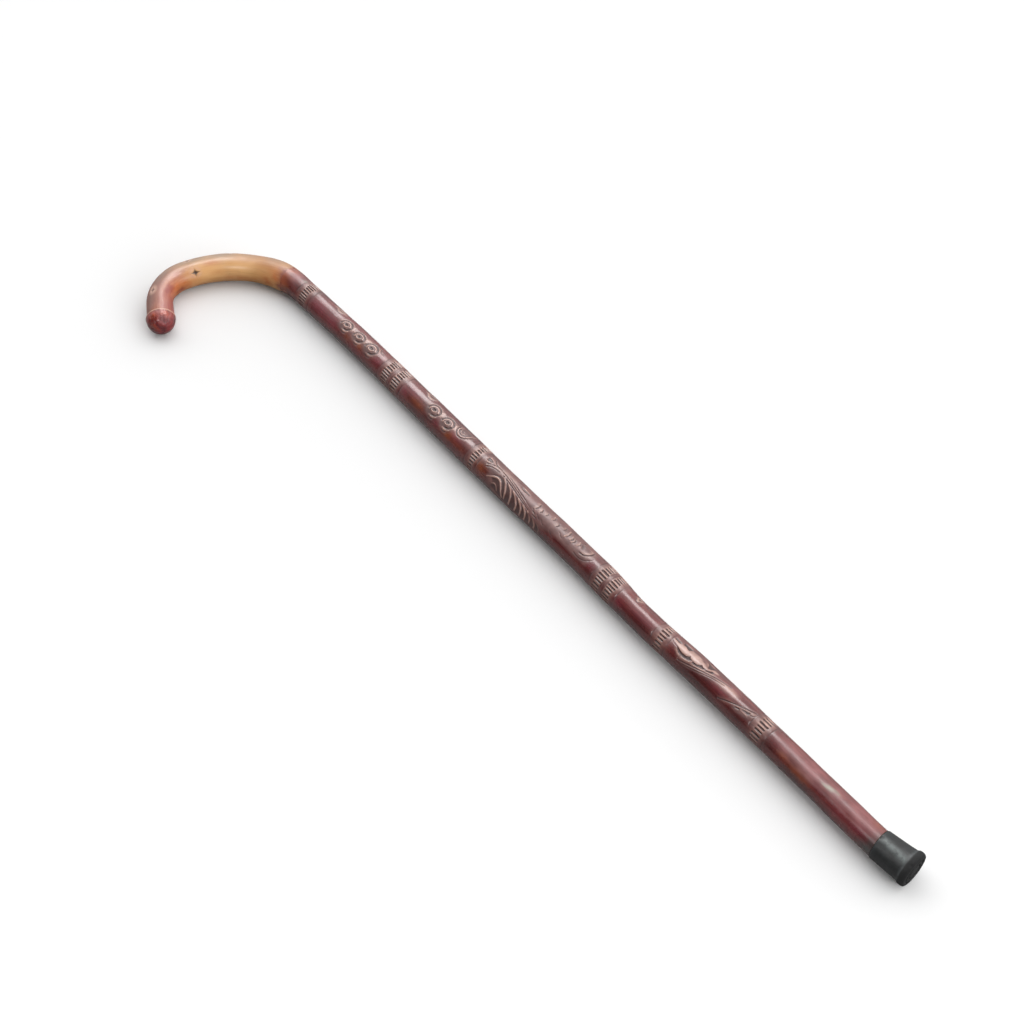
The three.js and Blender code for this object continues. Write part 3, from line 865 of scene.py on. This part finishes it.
SHAFT_SPOTS = {  # where the finish differs: station, angle, half length and half height in mm, strength
    "amber": [
        (101, 34, 5, 4, 1.0), (84, 42, 6, 4, 0.6), (236, 44, 6, 4, 0.9), (252, 46, 8, 3, 0.4),
        (284, 44, 7, 5, 0.8), (190, 42, 9, 4, 0.7), (-12, 20, 6, 9, 0.8), (-11, 70, 6, 5, 0.9),
        (661, 38, 6, 3, 0.8), (681, 50, 12, 4, 0.9), (752, -30, 5, 4, 0.8), (-12, 200, 6, 9, 0.7),
        (330, 220, 14, 4, 0.6), (590, 160, 14, 4, 0.5)],
    "crimson": [
        (38, 30, 14, 7, 1.0), (60, 42, 12, 6, 0.9), (98, 66, 8, 4, 0.6), (128, 28, 6, 6, 1.0),
        (170, 42, 5, 5, 1.0), (180, 16, 9, 4, 1.0), (219, 38, 4, 4, 1.0), (245, 28, 7, 4, 1.0),
        (426, 22, 6, 4, 0.8), (468, 46, 6, 5, 0.8), (495, 24, 16, 4, 0.7), (585, 30, 8, 3, 0.7),
        (655, 24, 8, 3, 0.6), (697, 38, 8, 4, 0.7), (722, 50, 12, 6, 0.6), (745, 40, 12, 7, 0.8),
        (150, 210, 20, 8, 0.8), (420, 230, 30, 8, 0.7), (560, 260, 30, 8, 0.8)],
    # painted shade: under the ribbon's scallops, and darker along the underside
    "painted_shade": [
        (542, 30, 7, 3, 1.0), (556, 22, 6, 2.5, 0.9), (568, 8, 5, 2, 0.7), (500, 54, 18, 6, 0.7),
        (560, 62, 28, 6, 0.9), (646, 50, 10, 6, 0.9), (610, 62, 14, 5, 0.7), (430, 66, 12, 5, 0.6),
        (676, 74, 20, 3, 0.6), (340, 120, 40, 8, 0.6), (100, 90, 40, 3, 0.5)],
    # faded stain, with a painted sheen along the top near the foot and at the joint
    "faded_and_sheen": [
        (662, 0, 14, 6, 0.7), (686, 2, 16, 8, 1.0), (712, 0, 16, 7, 0.8), (738, -10, 16, 7, 1.0),
        (752, -2, 8, 6, 0.7), (590, -20, 8, 5, 0.4), (-7, -4, 9, 8, 0.8), (700, 190, 40, 8, 0.7)],
    "haze": [(758, 52, 5, 6, 0.8), (757, 78, 8, 6, 0.9), (760, 16, 2.5, 6, 0.5)],
    "scuff": [
        (706, 4, 3.4, 1.8, 1.0), (703, 9, 2.2, 1.3, 1.0), (710, -2, 2.6, 1.5, 0.9), (699, 12, 1.8, 1.0, 0.7),
        (4, -14, 2.2, 1.8, 0.5)],
}
bare = ((radius < SEAT_RADIUS + 0.3) & (station > SHOULDER - 0.5)).astype(float)
marks = {name: on_pattern(sheet) * (1 - bare)
         for name, sheet in (("cut", cut), ("rubbed_and_highlight", proud), ("worked", worked), ("pale_and_highlight", pale_and_highlight))}
marks.update({name: spots(places, station, angle) for name, places in SHAFT_SPOTS.items()})
marks["bare"] = bare
marks["joint"] = np.clip(1 - (station - JOINT + ragged_edge() - 3) / 8, 0, 1)
rough_wood = marks["worked"] * (1 - 0.7 * marks["rubbed_and_highlight"])
marks["dull"] = np.maximum.reduce([rough_wood, bare, marks["faded_and_sheen"], marks["scuff"]])
store(shaft, {"straight": unbent(station, angle, radius), **marks})
print("shaft marks:", ", ".join(marks))

# %% [markdown]
# The crook
#
# The handle was bent with steam and ends in a knob behind a raised ring. It is plain but for small
# four-pointed stars, each cut in with four strokes of a chisel that meet in the middle. They are cut
# here in the same way as the bands: by lowering the skin inside the star's outline.

# %% The crook's profile and its stars
KNOB_LENGTH = 15.0
KNOB_RADIUS = 13.5
RING_RADIUS = 13.9
RING_WIDTH = 2.4
CROOK_COLUMNS = 200
CROOK_STEP = 0.62
STARS = [  # station, angle, half length along and across, and one number for both the strength of the painted shade inside and how deep
    (-113.8, 47, 6.8, 5.4, 1.0), (-160.5, -27, 5.6, 4.8, 0.4), (-117.0, -30, 4.6, 3.8, 0.6),
    (-60, -120, 5.6, 4.6, 1.0), (-113, 150, 5.6, 4.6, 1.0)]
STAR_POINT = 0.62  # the smaller, the thinner the star's points
STAR_DEPTH = 1.3
CROOK_INSET = 0.2  # mm, as on the shaft
DENTS = [(-78, -48, 1.6, 1.6, 0.5), (-146, 96, 2.0, 1.2, 0.6), (-23, -4, 1.4, 0.9, 0.25), (-12, 48, 2.0, 1.2, 0.3),
         (-136, 86, 1.6, 0.8, 0.2), (-52, -30, 1.2, 1.0, 0.3)]  # station, angle, half length and height, depth
PER_CROOK_DEGREE = math.radians(1) * 13.0  # mm round the crook for one degree


def from_star(stations, angles, star):
    """1 on a star's outline and 0 in its middle, and how far out each place is, in half sizes."""
    at, turn, length, height, _ = star
    along, across = np.abs(stations - at) / length, np.abs(apart(angles, turn)) * PER_CROOK_DEGREE / height
    return along ** STAR_POINT + across ** STAR_POINT, np.hypot(along, across)


end, ring = -CROOK_LENGTH, -CROOK_LENGTH + KNOB_LENGTH
dome_length = KNOB_LENGTH - RING_WIDTH / 2
dome_turn = np.linspace(0, math.pi / 2, 34)
knob_rows = [(end + dome_length * (1 - math.cos(t)), KNOB_RADIUS * math.sin(t)) for t in dome_turn]
across_ring = np.linspace(-1, 1, 11)[1:]
foot_of_ring = float(crook_girth(ring + RING_WIDTH / 2))
ring_rows = []
for t in across_ring:
    foot = KNOB_RADIUS - 0.25 if t < 0 else foot_of_ring
    ring_rows.append((ring + t * RING_WIDTH / 2, foot + (RING_RADIUS - foot) * math.sqrt(1 - t * t)))
tube = np.arange(ring + RING_WIDTH / 2 + CROOK_STEP, JOINT - 0.3, CROOK_STEP)
tube = np.append(tube, JOINT - 0.02)
tube_rows = list(zip(tube, crook_girth(tube)))
face_rows = [(JOINT - 0.02, DOWEL_HOLE), (JOINT - DOWEL_DEPTH, DOWEL_HOLE), (JOINT - DOWEL_DEPTH, 0.0)]
profile = np.array(knob_rows + ring_rows + tube_rows + face_rows)

rows_at = profile[:, 0][:, None]
angle_at = -np.arange(CROOK_COLUMNS)[None, :] * 360.0 / CROOK_COLUMNS
on_skin = np.zeros(len(profile))
on_skin[len(knob_rows) + len(ring_rows) - 2:len(profile) - len(face_rows)] = 1
star_cut = np.zeros((len(profile), CROOK_COLUMNS))
for star in STARS:
    shape, _ = from_star(rows_at, angle_at, star)
    star_cut = np.maximum(star_cut, star[-1] * np.clip(1.15 * (1 - shape), 0, 1))
dents = spots(DENTS, rows_at, angle_at, PER_CROOK_DEGREE)
wander = (0.09 * np.sin(rows_at / 8.3 + np.radians(2 * angle_at))
          + 0.07 * np.sin(rows_at / 19.0 - np.radians(angle_at))
          + 0.03 * np.sin(rows_at / 3.9 + np.radians(3 * angle_at))) - CROOK_INSET
crook_relief = (wander - STAR_DEPTH * star_cut - dents) * on_skin[:, None]

# %% The crook
crook = rolled("crook", profile, crook_relief)
bpy.ops.object.shade_smooth_by_angle(angle=CREASE)
print("crook:", triangles(crook), "triangles,", len(STARS), "stars")

# %% [markdown]
# Where the crook's finish differs
#
# The same is done for the crook. It turns back on itself, so the first guess of each point's station is
# the nearest of many places on the middle line. A star is darkened inside with painted shade, and the wood
# just round it carries a painted highlight.

# %% The crook's marks
points = points_of(crook)
guess_at = np.linspace(-CROOK_LENGTH, JOINT, 400)
gx, gy, _, _ = middle_line(guess_at)
nearest = np.argmin((points[:, 0, None] / MM - gx) ** 2 + (points[:, 1, None] / MM - gy) ** 2, axis=1)
station, angle, radius = off_stick(points, guess_at[nearest])
CROOK_SPOTS = {  # as for the shaft
    "rosy": [(-184, 62, 20, 9, 1.0), (-158, 42, 9, 4, 0.8), (-164, -8, 16, 6, 0.5), (-133, 24, 14, 5, 0.6)],
    "amber": [
        (-24, 50, 9, 8, 0.9), (-36, 84, 10, 5, 0.9), (-135, 82, 20, 10, 1.0), (-146, 64, 9, 5, 0.6),
        (-66, 96, 26, 3, 0.6), (-96, 20, 9, 3, 0.6), (-90, 64, 10, 3, 0.3), (-184, -30, 8, 5, 0.6)],
    "crimson": [
        (-19, 30, 3, 4, 0.6), (-18.5, 84, 3, 4, 0.7), (-137, 98, 8, 3, 0.8), (-18.5, 150, 3, 8, 0.7),
        (-178, -52, 20, 5, 0.8), (-18.5, -30, 2.5, 6, 0.4), (-18.5, 230, 3, 8, 0.6), (-200, 60, 6, 12, 0.9)],
    # painted light on the knob's upper part, by the ring
    "knob_painted_light": [(-191, 16, 3, 7, 0.9), (-194, 44, 4, 5, 0.8), (-197, 2, 4, 4, 0.5)],
    "ember": [(-193, -32, 4, 5, 1.0), (-200, -60, 5, 5, 0.7), (-192, 24, 3, 5, 0.8)],
    # painted shade and a painted grey sheen along the crown
    "crown_shade_and_sheen": [
        (-142, -24, 20, 7, 0.9), (-114, -22, 26, 7, 1.0), (-86, -20, 24, 7, 0.95), (-60, -28, 24, 8, 0.75),
        (-36, -36, 20, 9, 0.9)],
    # painted shade along the crown of the tip and the far side
    "crown_shade": [
        (-168, -40, 26, 9, 0.9), (-184, -50, 16, 9, 0.7), (-110, -66, 60, 4.5, 0.7), (-44, -64, 40, 4.5, 0.7)],
    "tanned": [(-64, 2, 16, 6, 0.6), (-36, 4, 18, 9, 1.0), (-48, -14, 20, 6, 0.6)],
    # painted light on the inner side that faces the light, and a painted gleam on the arch
    "painted_light_inner_side": [(-96, 62, 26, 8, 1.0), (-66, 58, 20, 10, 1.0), (-42, 64, 16, 7, 0.7), (-118, 66, 8, 6, 0.5)],
}
marks = {name: spots(places, station, angle) for name, places in CROOK_SPOTS.items()}
marks["cut"] = np.zeros(len(points))
# painted highlight on the knob's ring
marks["rubbed_and_highlight"] = np.exp(-((station - ring) / 0.8) ** 2)
# painted shade inside each star, and a painted highlight on the wood just round it
for star in STARS:
    shape, far = from_star(station, angle, star)
    marks["cut"] = np.maximum(marks["cut"], star[-1] * np.clip(2.6 * (1 - shape), 0, 1))
    halo = np.clip(1.6 * (1 - far / 1.15), 0, 1) * np.clip(3 * (shape - star[-1]), 0, 1)
    marks["rubbed_and_highlight"] = np.maximum(marks["rubbed_and_highlight"], halo)
marks["knob"] = ramp(station, ring + 0.32, ring - 1.28)
marks["redden"] = ramp(station, -118, -154) - 0.6
marks["joint"] = np.clip((station + ragged_edge() - JOINT + 7) / 9, 0, 1)
marks["matt"] = np.maximum(ramp(station, -78, -56), 0.6 * ramp(station, -136, -148))
store(crook, {"straight": unbent(station, angle, radius), **marks})
print("crook marks:", ", ".join(marks))

# %% [markdown]
# The rubber tip
#
# A moulded cup with a wider foot. It starts as a circle at the bottom of the cup, which is drawn up the
# inside wall, over the rim, down the outside, out to the flange and in under the tread, one extrusion at
# a time. Two rings in the tread give it grip.

# %% The rubber tip
TIP_LENGTH = 33.8
FLANGE_RADIUS = 15.6
TIP_FLOOR = 6.5
BORE = 10.9
RUBBER_SIDES = 144
RUBBER_CREASE = math.radians(40)
TIP_PROFILE = [  # distance from the rim towards the tread, and radius
    (20, BORE), (12, BORE), (5, BORE), (1.4, BORE), (0.4, BORE + 0.3), (0.0, 11.7), (0.1, 12.3), (0.7, 12.85),
    (1.8, 13.0), (5, 13.12), (9, 13.3), (13, 13.5), (17, 13.7), (20, 13.86), (23, 14.02), (25, 14.16),
    (26.4, 14.32), (27.2, 14.7), (27.9, 15.2), (28.7, 15.5), (29.8, 15.6), (31.0, 15.6), (32.0, 15.42),
    (32.9, 15.0), (33.5, 14.4), (TIP_LENGTH, 13.6),
]
TREAD_RINGS = (11.4, 7.4)  # the outer radius of each groove in the tread
GROOVE_WALL = ((0, 0), (0.3, 0.2), (0.8, 0.3), (0.8, 1.5), (0.3, 1.6), (0, 1.8))  # depth, and distance inwards
for outer in TREAD_RINGS:
    TIP_PROFILE += [(TIP_LENGTH - depth, outer - inwards) for depth, inwards in GROOVE_WALL]
TIP_PROFILE.append((TIP_LENGTH, 2.0))


def draw_up(before, after):
    """Extrudes the selected ring from one (distance, radius) to the next."""
    (d0, r0), (d1, r1) = before, after
    bpy.ops.mesh.extrude_edges_move(TRANSFORM_OT_translate={"value": (0, 0, (d1 - d0) * MM)})
    bpy.ops.transform.resize(value=(r1 / r0, r1 / r0, 1), center_override=(0, 0, d1 * MM))


select_nothing()
start = (TIP_LENGTH - TIP_FLOOR, BORE)
bpy.ops.mesh.primitive_circle_add(
    vertices=RUBBER_SIDES, radius=start[1] * MM, fill_type="TRIFAN", location=(0, 0, start[0] * MM))
tip = bpy.context.object
tip.name = "rubber_tip"
bpy.ops.object.transform_apply(location=True, rotation=True, scale=True)
edit("EDIT")
bpy.ops.mesh.select_all(action="DESELECT")
bpy.ops.mesh.select_mode(type="EDGE")
bpy.ops.mesh.select_non_manifold()
for before, after in zip([start] + TIP_PROFILE[:-1], TIP_PROFILE):
    draw_up(before, after)
bpy.ops.mesh.edge_face_add()
edit("OBJECT")
print("rubber tip:", triangles(tip), "triangles")

# %% [markdown]
# A worn tip
#
# The real tip is no longer round. Its outside is pushed in and out a little, most at the flange, and has a
# few nicks. The bore that grips the wood stays true.

# %% The tip's wear
NICKS = [(1.5, 0.8, 0.12, 0.9), (2.25, 0.8, 0.10, 0.7), (4.4, 31, 0.14, 0.6), (1.2, 32, 0.09, 0.5),
         (5.6, 30, 0.2, 0.35)]  # turn in radians, distance from the rim, half width in radians, depth
WALL_MIDDLE = 12.2  # radius that parts the inside from the outside

points = points_of(tip) / MM
place, radius = points[:, 2], np.hypot(points[:, 0], points[:, 1])
turn = np.arctan2(points[:, 1], points[:, 0])
outside = ramp(radius, WALL_MIDDLE, WALL_MIDDLE + 0.8)
wave = (0.10 * np.sin(3 * turn + 0.7) + 0.07 * np.sin(7 * turn + place / 3) + 0.05 * np.sin(13 * turn - place / 2))
flange = ramp(place, 26, 29)
shrink = outside * (-0.12 + 0.5 * wave + flange * (0.9 * wave - 0.12))
for at_turn, at_place, wide, down in NICKS:
    gap = (turn - at_turn + math.pi) % (2 * math.pi) - math.pi
    shrink -= outside * down * np.exp(-(gap / wide) ** 2 - ((place - at_place) / 1.8) ** 2)
radius_new = np.minimum(radius + shrink, FLANGE_RADIUS)
factor = np.where(radius > 0.01, radius_new / np.maximum(radius, 0.01), 1)
points[:, 0] *= factor
points[:, 1] *= factor
print("wear: up to", round(float((radius - radius_new).max()), 2), "mm")

# %% [markdown]
# The tip on the foot
#
# The cup was drawn standing up. It now turns so that its length lies along the leaning foot, with its rim
# on the shoulder. A painted highlight runs along its upper side, and the tread's edge is black with dirt.

# %% The tip's place and its marks
rim_x, rim_y, rim_z, _ = (float(v[0]) for v in middle_line(np.array([SHAFT_RUN])))
lean = math.radians(FOOT_LEAN)
along, side, up = points[:, 2], points[:, 0], points[:, 1]
placed = np.stack([rim_x + along * math.cos(lean) + side * math.sin(lean),
                   rim_y + along * math.sin(lean) - side * math.cos(lean), rim_z + up], -1) * MM
edges = np.exp(-((along - 27.4) / 1.3) ** 2) + 0.6 * np.exp(-(along / 1.5) ** 2)
# where the painted highlight runs along the tip
highlight_at = math.pi / 2 - np.radians(4 + 0.6 * along)
gap = np.abs((turn - highlight_at + math.pi) % (2 * math.pi) - math.pi)
fade = ramp(along, 0, 4) * ramp(along, 27.5, 25.5)
store(tip, {
    "moulded": np.stack([along, -side, up], -1) * MM,
    "worn_edge": np.clip(edges, 0, 1) * outside,
    "painted_highlight": np.exp(-(gap / 0.2) ** 2) * fade * outside,
    "grimy": ramp(along, 27.6, 28.8),
    "nick": np.exp(-((turn - 1.5) / 0.16) ** 2 - ((along - 0.6) / 1.4) ** 2),
})
move_points(tip, placed)
edit("EDIT")
bpy.ops.mesh.select_all(action="SELECT")
bpy.ops.mesh.normals_make_consistent(inside=False)
edit("OBJECT")
bpy.ops.object.shade_smooth_by_angle(angle=RUBBER_CREASE)
print("rubber tip: its rim is at", [round(v, 2) for v in (rim_x, rim_y, rim_z)], "mm")

# %% [markdown]
# How a finish is described
#
# All five finishes are built up in the same way, as a painter would: noise patterns of a real size, a
# ground of two tones, colours laid over it one after another, and then the dullness and the fine bumps.
# So each finish is a table, and one function turns a table into a material. The tables use names for the
# marks stored on the mesh, the patterns, the shares (how much of a pattern counts) and the mixed tones.

# %% From a table to a material


def finish(name, place, patterns, shares, tones, polish, bumps, layers=(), marks=(), sums=(), duller=(), **shader):
    """Builds a material and gives it back.

    place: the stored vector that the patterns follow, or None for the piece's own coordinates.
    patterns: name, size of a patch along x, y and z in mm, detail and roughness of the noise.
    sums: name, source, times a number, plus another source.
    shares: name, source, and the two source values that become the next two numbers.
    tones: name, source, and the two source values that get the next two colours. The first is the ground.
    layers: how much, times what, and the colour or tone laid on.
    duller: what is added to the roughness, and how much of it.
    bumps: name, strength, height in metres.
    """
    material, tree, output = new_material(name)
    if place:
        at = add(tree, "Attribute", attribute_name=place).outputs["Vector"]
    else:
        at = add(tree, "TexCoord").outputs["Object"]
    known = {mark: add(tree, "Attribute", attribute_name=mark).outputs["Fac"] for mark in marks}
    for key, sizes, detail, roughness in patterns:
        stretched = add(tree, "Mapping", {"Vector": at, "Scale": [1 / (size * MM) for size in sizes]})
        known[key] = add(tree, "TexNoise", {
            "Vector": stretched, "Scale": 1.0, "Detail": detail, "Roughness": roughness})
    for key, source, factor, plus in sums:
        known[key] = add(tree, "Math", {0: known[source], 1: factor, 2: known[plus]}, operation="MULTIPLY_ADD")
    for key, source, low, high, start, end in shares:
        known[key] = add(tree, "MapRange", {
            "Value": known[source], "From Min": low, "From Max": high, "To Min": start, "To Max": end})
    for key, source, low, high, first, second in tones:
        share = add(tree, "MapRange", {"Value": known[source], "From Min": low, "From Max": high})
        known[key] = add(tree, "Mix", {"Factor": share, "A": colour(first), "B": colour(second)}, data_type="RGBA")
    skin = known[tones[0][0]]
    for amount, share, tone in layers:
        factor = add(tree, "Math", {0: known[amount], 1: known.get(share, share)}, operation="MULTIPLY")
        over = known[tone] if tone in known else colour(tone)
        skin = add(tree, "Mix", {"Factor": factor, "A": skin, "B": over}, data_type="RGBA")
    dull = known[polish]
    for amount, factor in duller:
        dull = add(tree, "Math", {0: known[amount], 1: factor, 2: dull}, operation="MULTIPLY_ADD", use_clamp=True)
    relief = {}
    for key, strength, height in bumps:
        relief = {"Normal": add(tree, "Bump", {
            "Height": known[key], "Strength": known.get(strength, strength), "Distance": height, **relief})}
    settings = {key.replace("_", " "): value for key, value in shader.items()}
    surface = add(tree, "BsdfPrincipled", {"Base Color": skin, "Roughness": dull, **relief, **settings})
    tree.links.new(surface.outputs[0], output.inputs["Surface"])
    print(name, "has", len(tree.nodes), "nodes")
    return material


# %% [markdown]
# Red-stained, varnished wood
#
# The shaft is a close-grained hardwood under a dark red stain and old varnish. The stain is patchy:
# crimson in some places, browner in others, with amber wood where it has worn thin. The knife took the
# polish off the carved parts: they are dusty brown and dull, and painted light makes the bands lighter on
# the side that is turned up. The ridges are worn lighter and carry a painted highlight, as do the raised
# flats, and painted shade darkens the cuts, the ground under the ribbon and the underside. Towards the foot
# the stain has lost colour along the top, where a painted sheen lies over it, and it is scuffed grey.
# The plain stretches still shine, so their roughness is about a quarter.
#
# The grain is real wood's: fibres about a millimetre apart and a few centimetres long, drawn a little
# coarser than they are so that they show.

# %% Red wood
VARNISH_IOR = 1.5

red_wood = finish(
    "red_stained_hardwood_varnished", "straight",
    marks=("cut", "rubbed_and_highlight", "worked", "pale_and_highlight", "bare", "amber", "crimson", "painted_shade", "faded_and_sheen", "scuff", "joint", "haze",
           "dull"),
    patterns=[("patches", (40, 22.2, 22.2), 3.0, 0.5), ("blotches", (9.09, 5.88, 5.88), 3.0, 0.5),
              ("fibres", (25, 1, 1), 4.0, 0.6)],
    shares=[
        ("uneven", "blotches", 0.3, 0.58, 0.5, 1), ("browner", "blotches", 0.5, 0.72, 0, 0.5),
        ("pale_fibres", "fibres", 0.45, 0.75, 0, 0.22), ("dark_fibres", "fibres", 0.55, 0.3, 0, 0.25),
        ("varnish", "blotches", 0.3, 0.7, 0.21, 0.30)],
    tones=[("stain", "patches", 0.38, 0.62, "#561c1e", "#6e2a2a"),
           ("dusty", "blotches", 0.35, 0.65, "#5e3c38", "#7e5953")],
    # the layers include painted shade (cuts, underside), painted highlight (ridges, raised flats) and painted sheen
    layers=[
        ("browner", 1, "#7c3630"), ("crimson", "uneven", "#7d2c39"), ("amber", "uneven", "#91481f"),
        ("painted_shade", "uneven", "#3d0f12"), ("faded_and_sheen", "uneven", "#96595a"), ("pale_fibres", 1, "#9a5546"),
        ("dark_fibres", 1, "#280c0f"), ("worked", 0.85, "dusty"), ("pale_and_highlight", "uneven", "#cba598"),
        ("rubbed_and_highlight", "uneven", "#ba9082"), ("cut", 0.85, "#34130f"), ("scuff", "uneven", "#a5a293"),
        ("joint", "uneven", "#a0553a"), ("haze", 1, "#454846"), ("bare", 1, "#b08a5c")],
    polish="varnish", duller=[("dull", 0.27)],
    bumps=[("fibres", 0.12, 0.0001), ("blotches", 0.3, 0.0004)],
    IOR=VARNISH_IOR, Coat_Weight=0.12, Coat_Roughness=0.2)

# %% [markdown]
# Honey-coloured wood
#
# The handle is the same wood without the red stain, polished by the hand that held it. Along its inner
# side it is golden, with painted light on the middle of the arch, and orange on the bend by the knob. Its
# crown carries painted shade and a painted grey sheen, and it is tanned near the elbow. It turns red
# towards the knob, and the knob is dark crimson, with painted light on its upper part by the ring. The ring
# and the wood round each star carry a painted highlight, and each star painted shade. The elbow and the tip
# have lost some of their polish, and the knob is dimpled with knocks, which breaks up its gleam.

# %% Honey wood
honey_wood = finish(
    "honey_hardwood_hand_polished", "straight",
    marks=("cut", "rubbed_and_highlight", "knob", "redden", "rosy", "amber", "crimson", "ember", "joint", "crown_shade_and_sheen", "crown_shade",
           "tanned", "painted_light_inner_side", "matt", "knob_painted_light"),
    patterns=[("patches", (35.7, 16.7, 16.7), 3.0, 0.5), ("blotches", (8.33, 5, 5), 3.0, 0.5),
              ("fibres", (25, 1.11, 1.11), 4.0, 0.6)],
    sums=[("reddening", "patches", 1.2, "redden")],
    shares=[
        ("uneven", "blotches", 0.3, 0.58, 0.45, 1), ("reddened", "reddening", 0.1, 0.9, 0, 1),
        ("pale_fibres", "fibres", 0.5, 0.78, 0, 0.3), ("dark_fibres", "fibres", 0.5, 0.28, 0, 0.2),
        ("hand_polish", "blotches", 0.3, 0.7, 0.27, 0.38)],
    tones=[("wood", "patches", 0.38, 0.62, "#d39352", "#e2ae78"),
           ("mottled", "blotches", 0.4, 0.62, "#974237", "#b26b54"),
           ("deep_red", "blotches", 0.4, 0.6, "#66131b", "#8c2f30")],
    # the layers include painted light, painted shade, a painted grey sheen and painted highlights
    layers=[
        ("painted_light_inner_side", 1, "#f6bd7c"), ("tanned", 1, "#bc7a36"), ("reddened", 1, "mottled"),
        ("amber", "uneven", "#cc7034"), ("pale_fibres", 1, "#e6bd88"), ("dark_fibres", 1, "#9c5c26"),
        ("rosy", "uneven", "#9a5652"), ("crimson", "uneven", "#7c2c24"), ("joint", "uneven", "#8a4434"),
        ("crown_shade_and_sheen", 0.85, "#8d7868"), ("crown_shade", 0.85, "#7a5142"), ("knob", 1, "deep_red"),
        ("knob_painted_light", "uneven", "#a35f5c"), ("ember", "uneven", "#b04a2c"), ("rubbed_and_highlight", 0.7, "#e0b29c"),
        ("cut", 0.92, "#1c0b08")],
    polish="hand_polish", duller=[("cut", 0.35), ("matt", 0.22), ("knob", -0.15)],
    bumps=[("fibres", 0.12, 0.0001), ("blotches", 0.25, 0.0003), ("blotches", "knob", 0.0022)],
    IOR=VARNISH_IOR, Coat_Weight=0.12, Coat_Roughness=0.18)

# %% [markdown]
# Rubber
#
# Natural rubber filled with carbon black, moulded and then scuffed grey. It is nearly matt, with a soft
# gleam, and greyer where edges have worn. A painted highlight runs along its upper side, the tread's edge
# is black with dirt, and the rim has a nick.

# %% Rubber
rubber = finish(
    "black_rubber_moulded_scuffed", "moulded", marks=("worn_edge", "painted_highlight", "grimy", "nick"),
    patterns=[("grain", (0.8, 0.8, 0.8), 4.0, 0.65), ("smears", (5.88, 7.14, 7.14), 4.0, 0.6),
              ("scrapes", (10, 1.67, 1.67), 3.0, 0.5)],
    shares=[
        ("scraped", "scrapes", 0.56, 0.8, 0, 0.4), ("some", "smears", 0.3, 0.6, 0.1, 0.55),
        ("most", "smears", 0.35, 0.55, 0.3, 1), ("satin", "grain", 0.3, 0.7, 0.42, 0.56)],
    tones=[("skin", "smears", 0.35, 0.65, "#0b0c0c", "#191c1d")],
    # the painted highlight along the upper side is one of these layers
    layers=[("scraped", 1, "#373c3d"), ("worn_edge", "some", "#4c5153"), ("painted_highlight", "most", "#69706f"),
            ("grimy", 1, "#09090a"), ("nick", 1, "#050606")],
    polish="satin", duller=[("grimy", 0.3)],
    bumps=[("grain", 0.3, 0.0002), ("scrapes", 0.3, 0.0003)], IOR=1.52, Specular_IOR_Level=0.4)

# %% [markdown]
# Inside the stick
#
# The dowel and the washer can't be seen on the whole stick, and their CAD shapes are right, so they stay
# and only get a material: bare beech for the dowel, and a plain steel pressing for the washer.

# %% Dowel wood and steel
dowel_wood = finish(
    "bare_beech", None, patterns=[("fibres", (11.1, 11.1, 0.8), 2.0, 0.5)],
    shares=[("planed", "fibres", 0.3, 0.7, 0.55, 0.7)],
    tones=[("beech", "fibres", 0.35, 0.65, "#b8925f", "#d2b384")],
    polish="planed", bumps=[("fibres", 0.3, 0.0002)])
steel = finish(
    "pressed_steel", None, patterns=[("marks", (1.2, 1.2, 1.2), 4.0, 0.7)],
    shares=[("rolled", "marks", 0.3, 0.7, 0.3, 0.5)],
    tones=[("metal", "marks", 0.4, 0.7, "#a4a6a8", "#7d7a76")],
    polish="rolled", bumps=[("marks", 0.2, 0.0001)], Metallic=1.0)

# %% [markdown]
# Each piece gets its finish and its place
#
# Every new piece takes its finish and rides on the body that carries it, and the CAD solid of the same
# shape is hidden.

# %% Finishes, bodies and what each piece stands for
for piece, material, body, node, slot in (
    (shaft, red_wood, "stick", "carved_shaft", "red_wood"),
    (crook, honey_wood, "stick", "crook_handle", "honey_wood"),
    (tip, rubber, "ferrule", "rubber_ferrule", "rubber"),
):
    piece.data.materials.clear()
    piece.data.materials.append(material)
    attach(piece, body)
    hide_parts(node)
    print(piece.name, "rides on", body, "and stands for", node)

for node, material in (("joint_dowel", dowel_wood), ("ferrule_washer", steel)):
    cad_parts[node].material_slots[0].material = material

# %% [markdown]
# The end
#
# The scene is brought up to date. The box of the finished stick has to match the box of the CAD
# model.

# %% The end
bpy.context.view_layer.update()
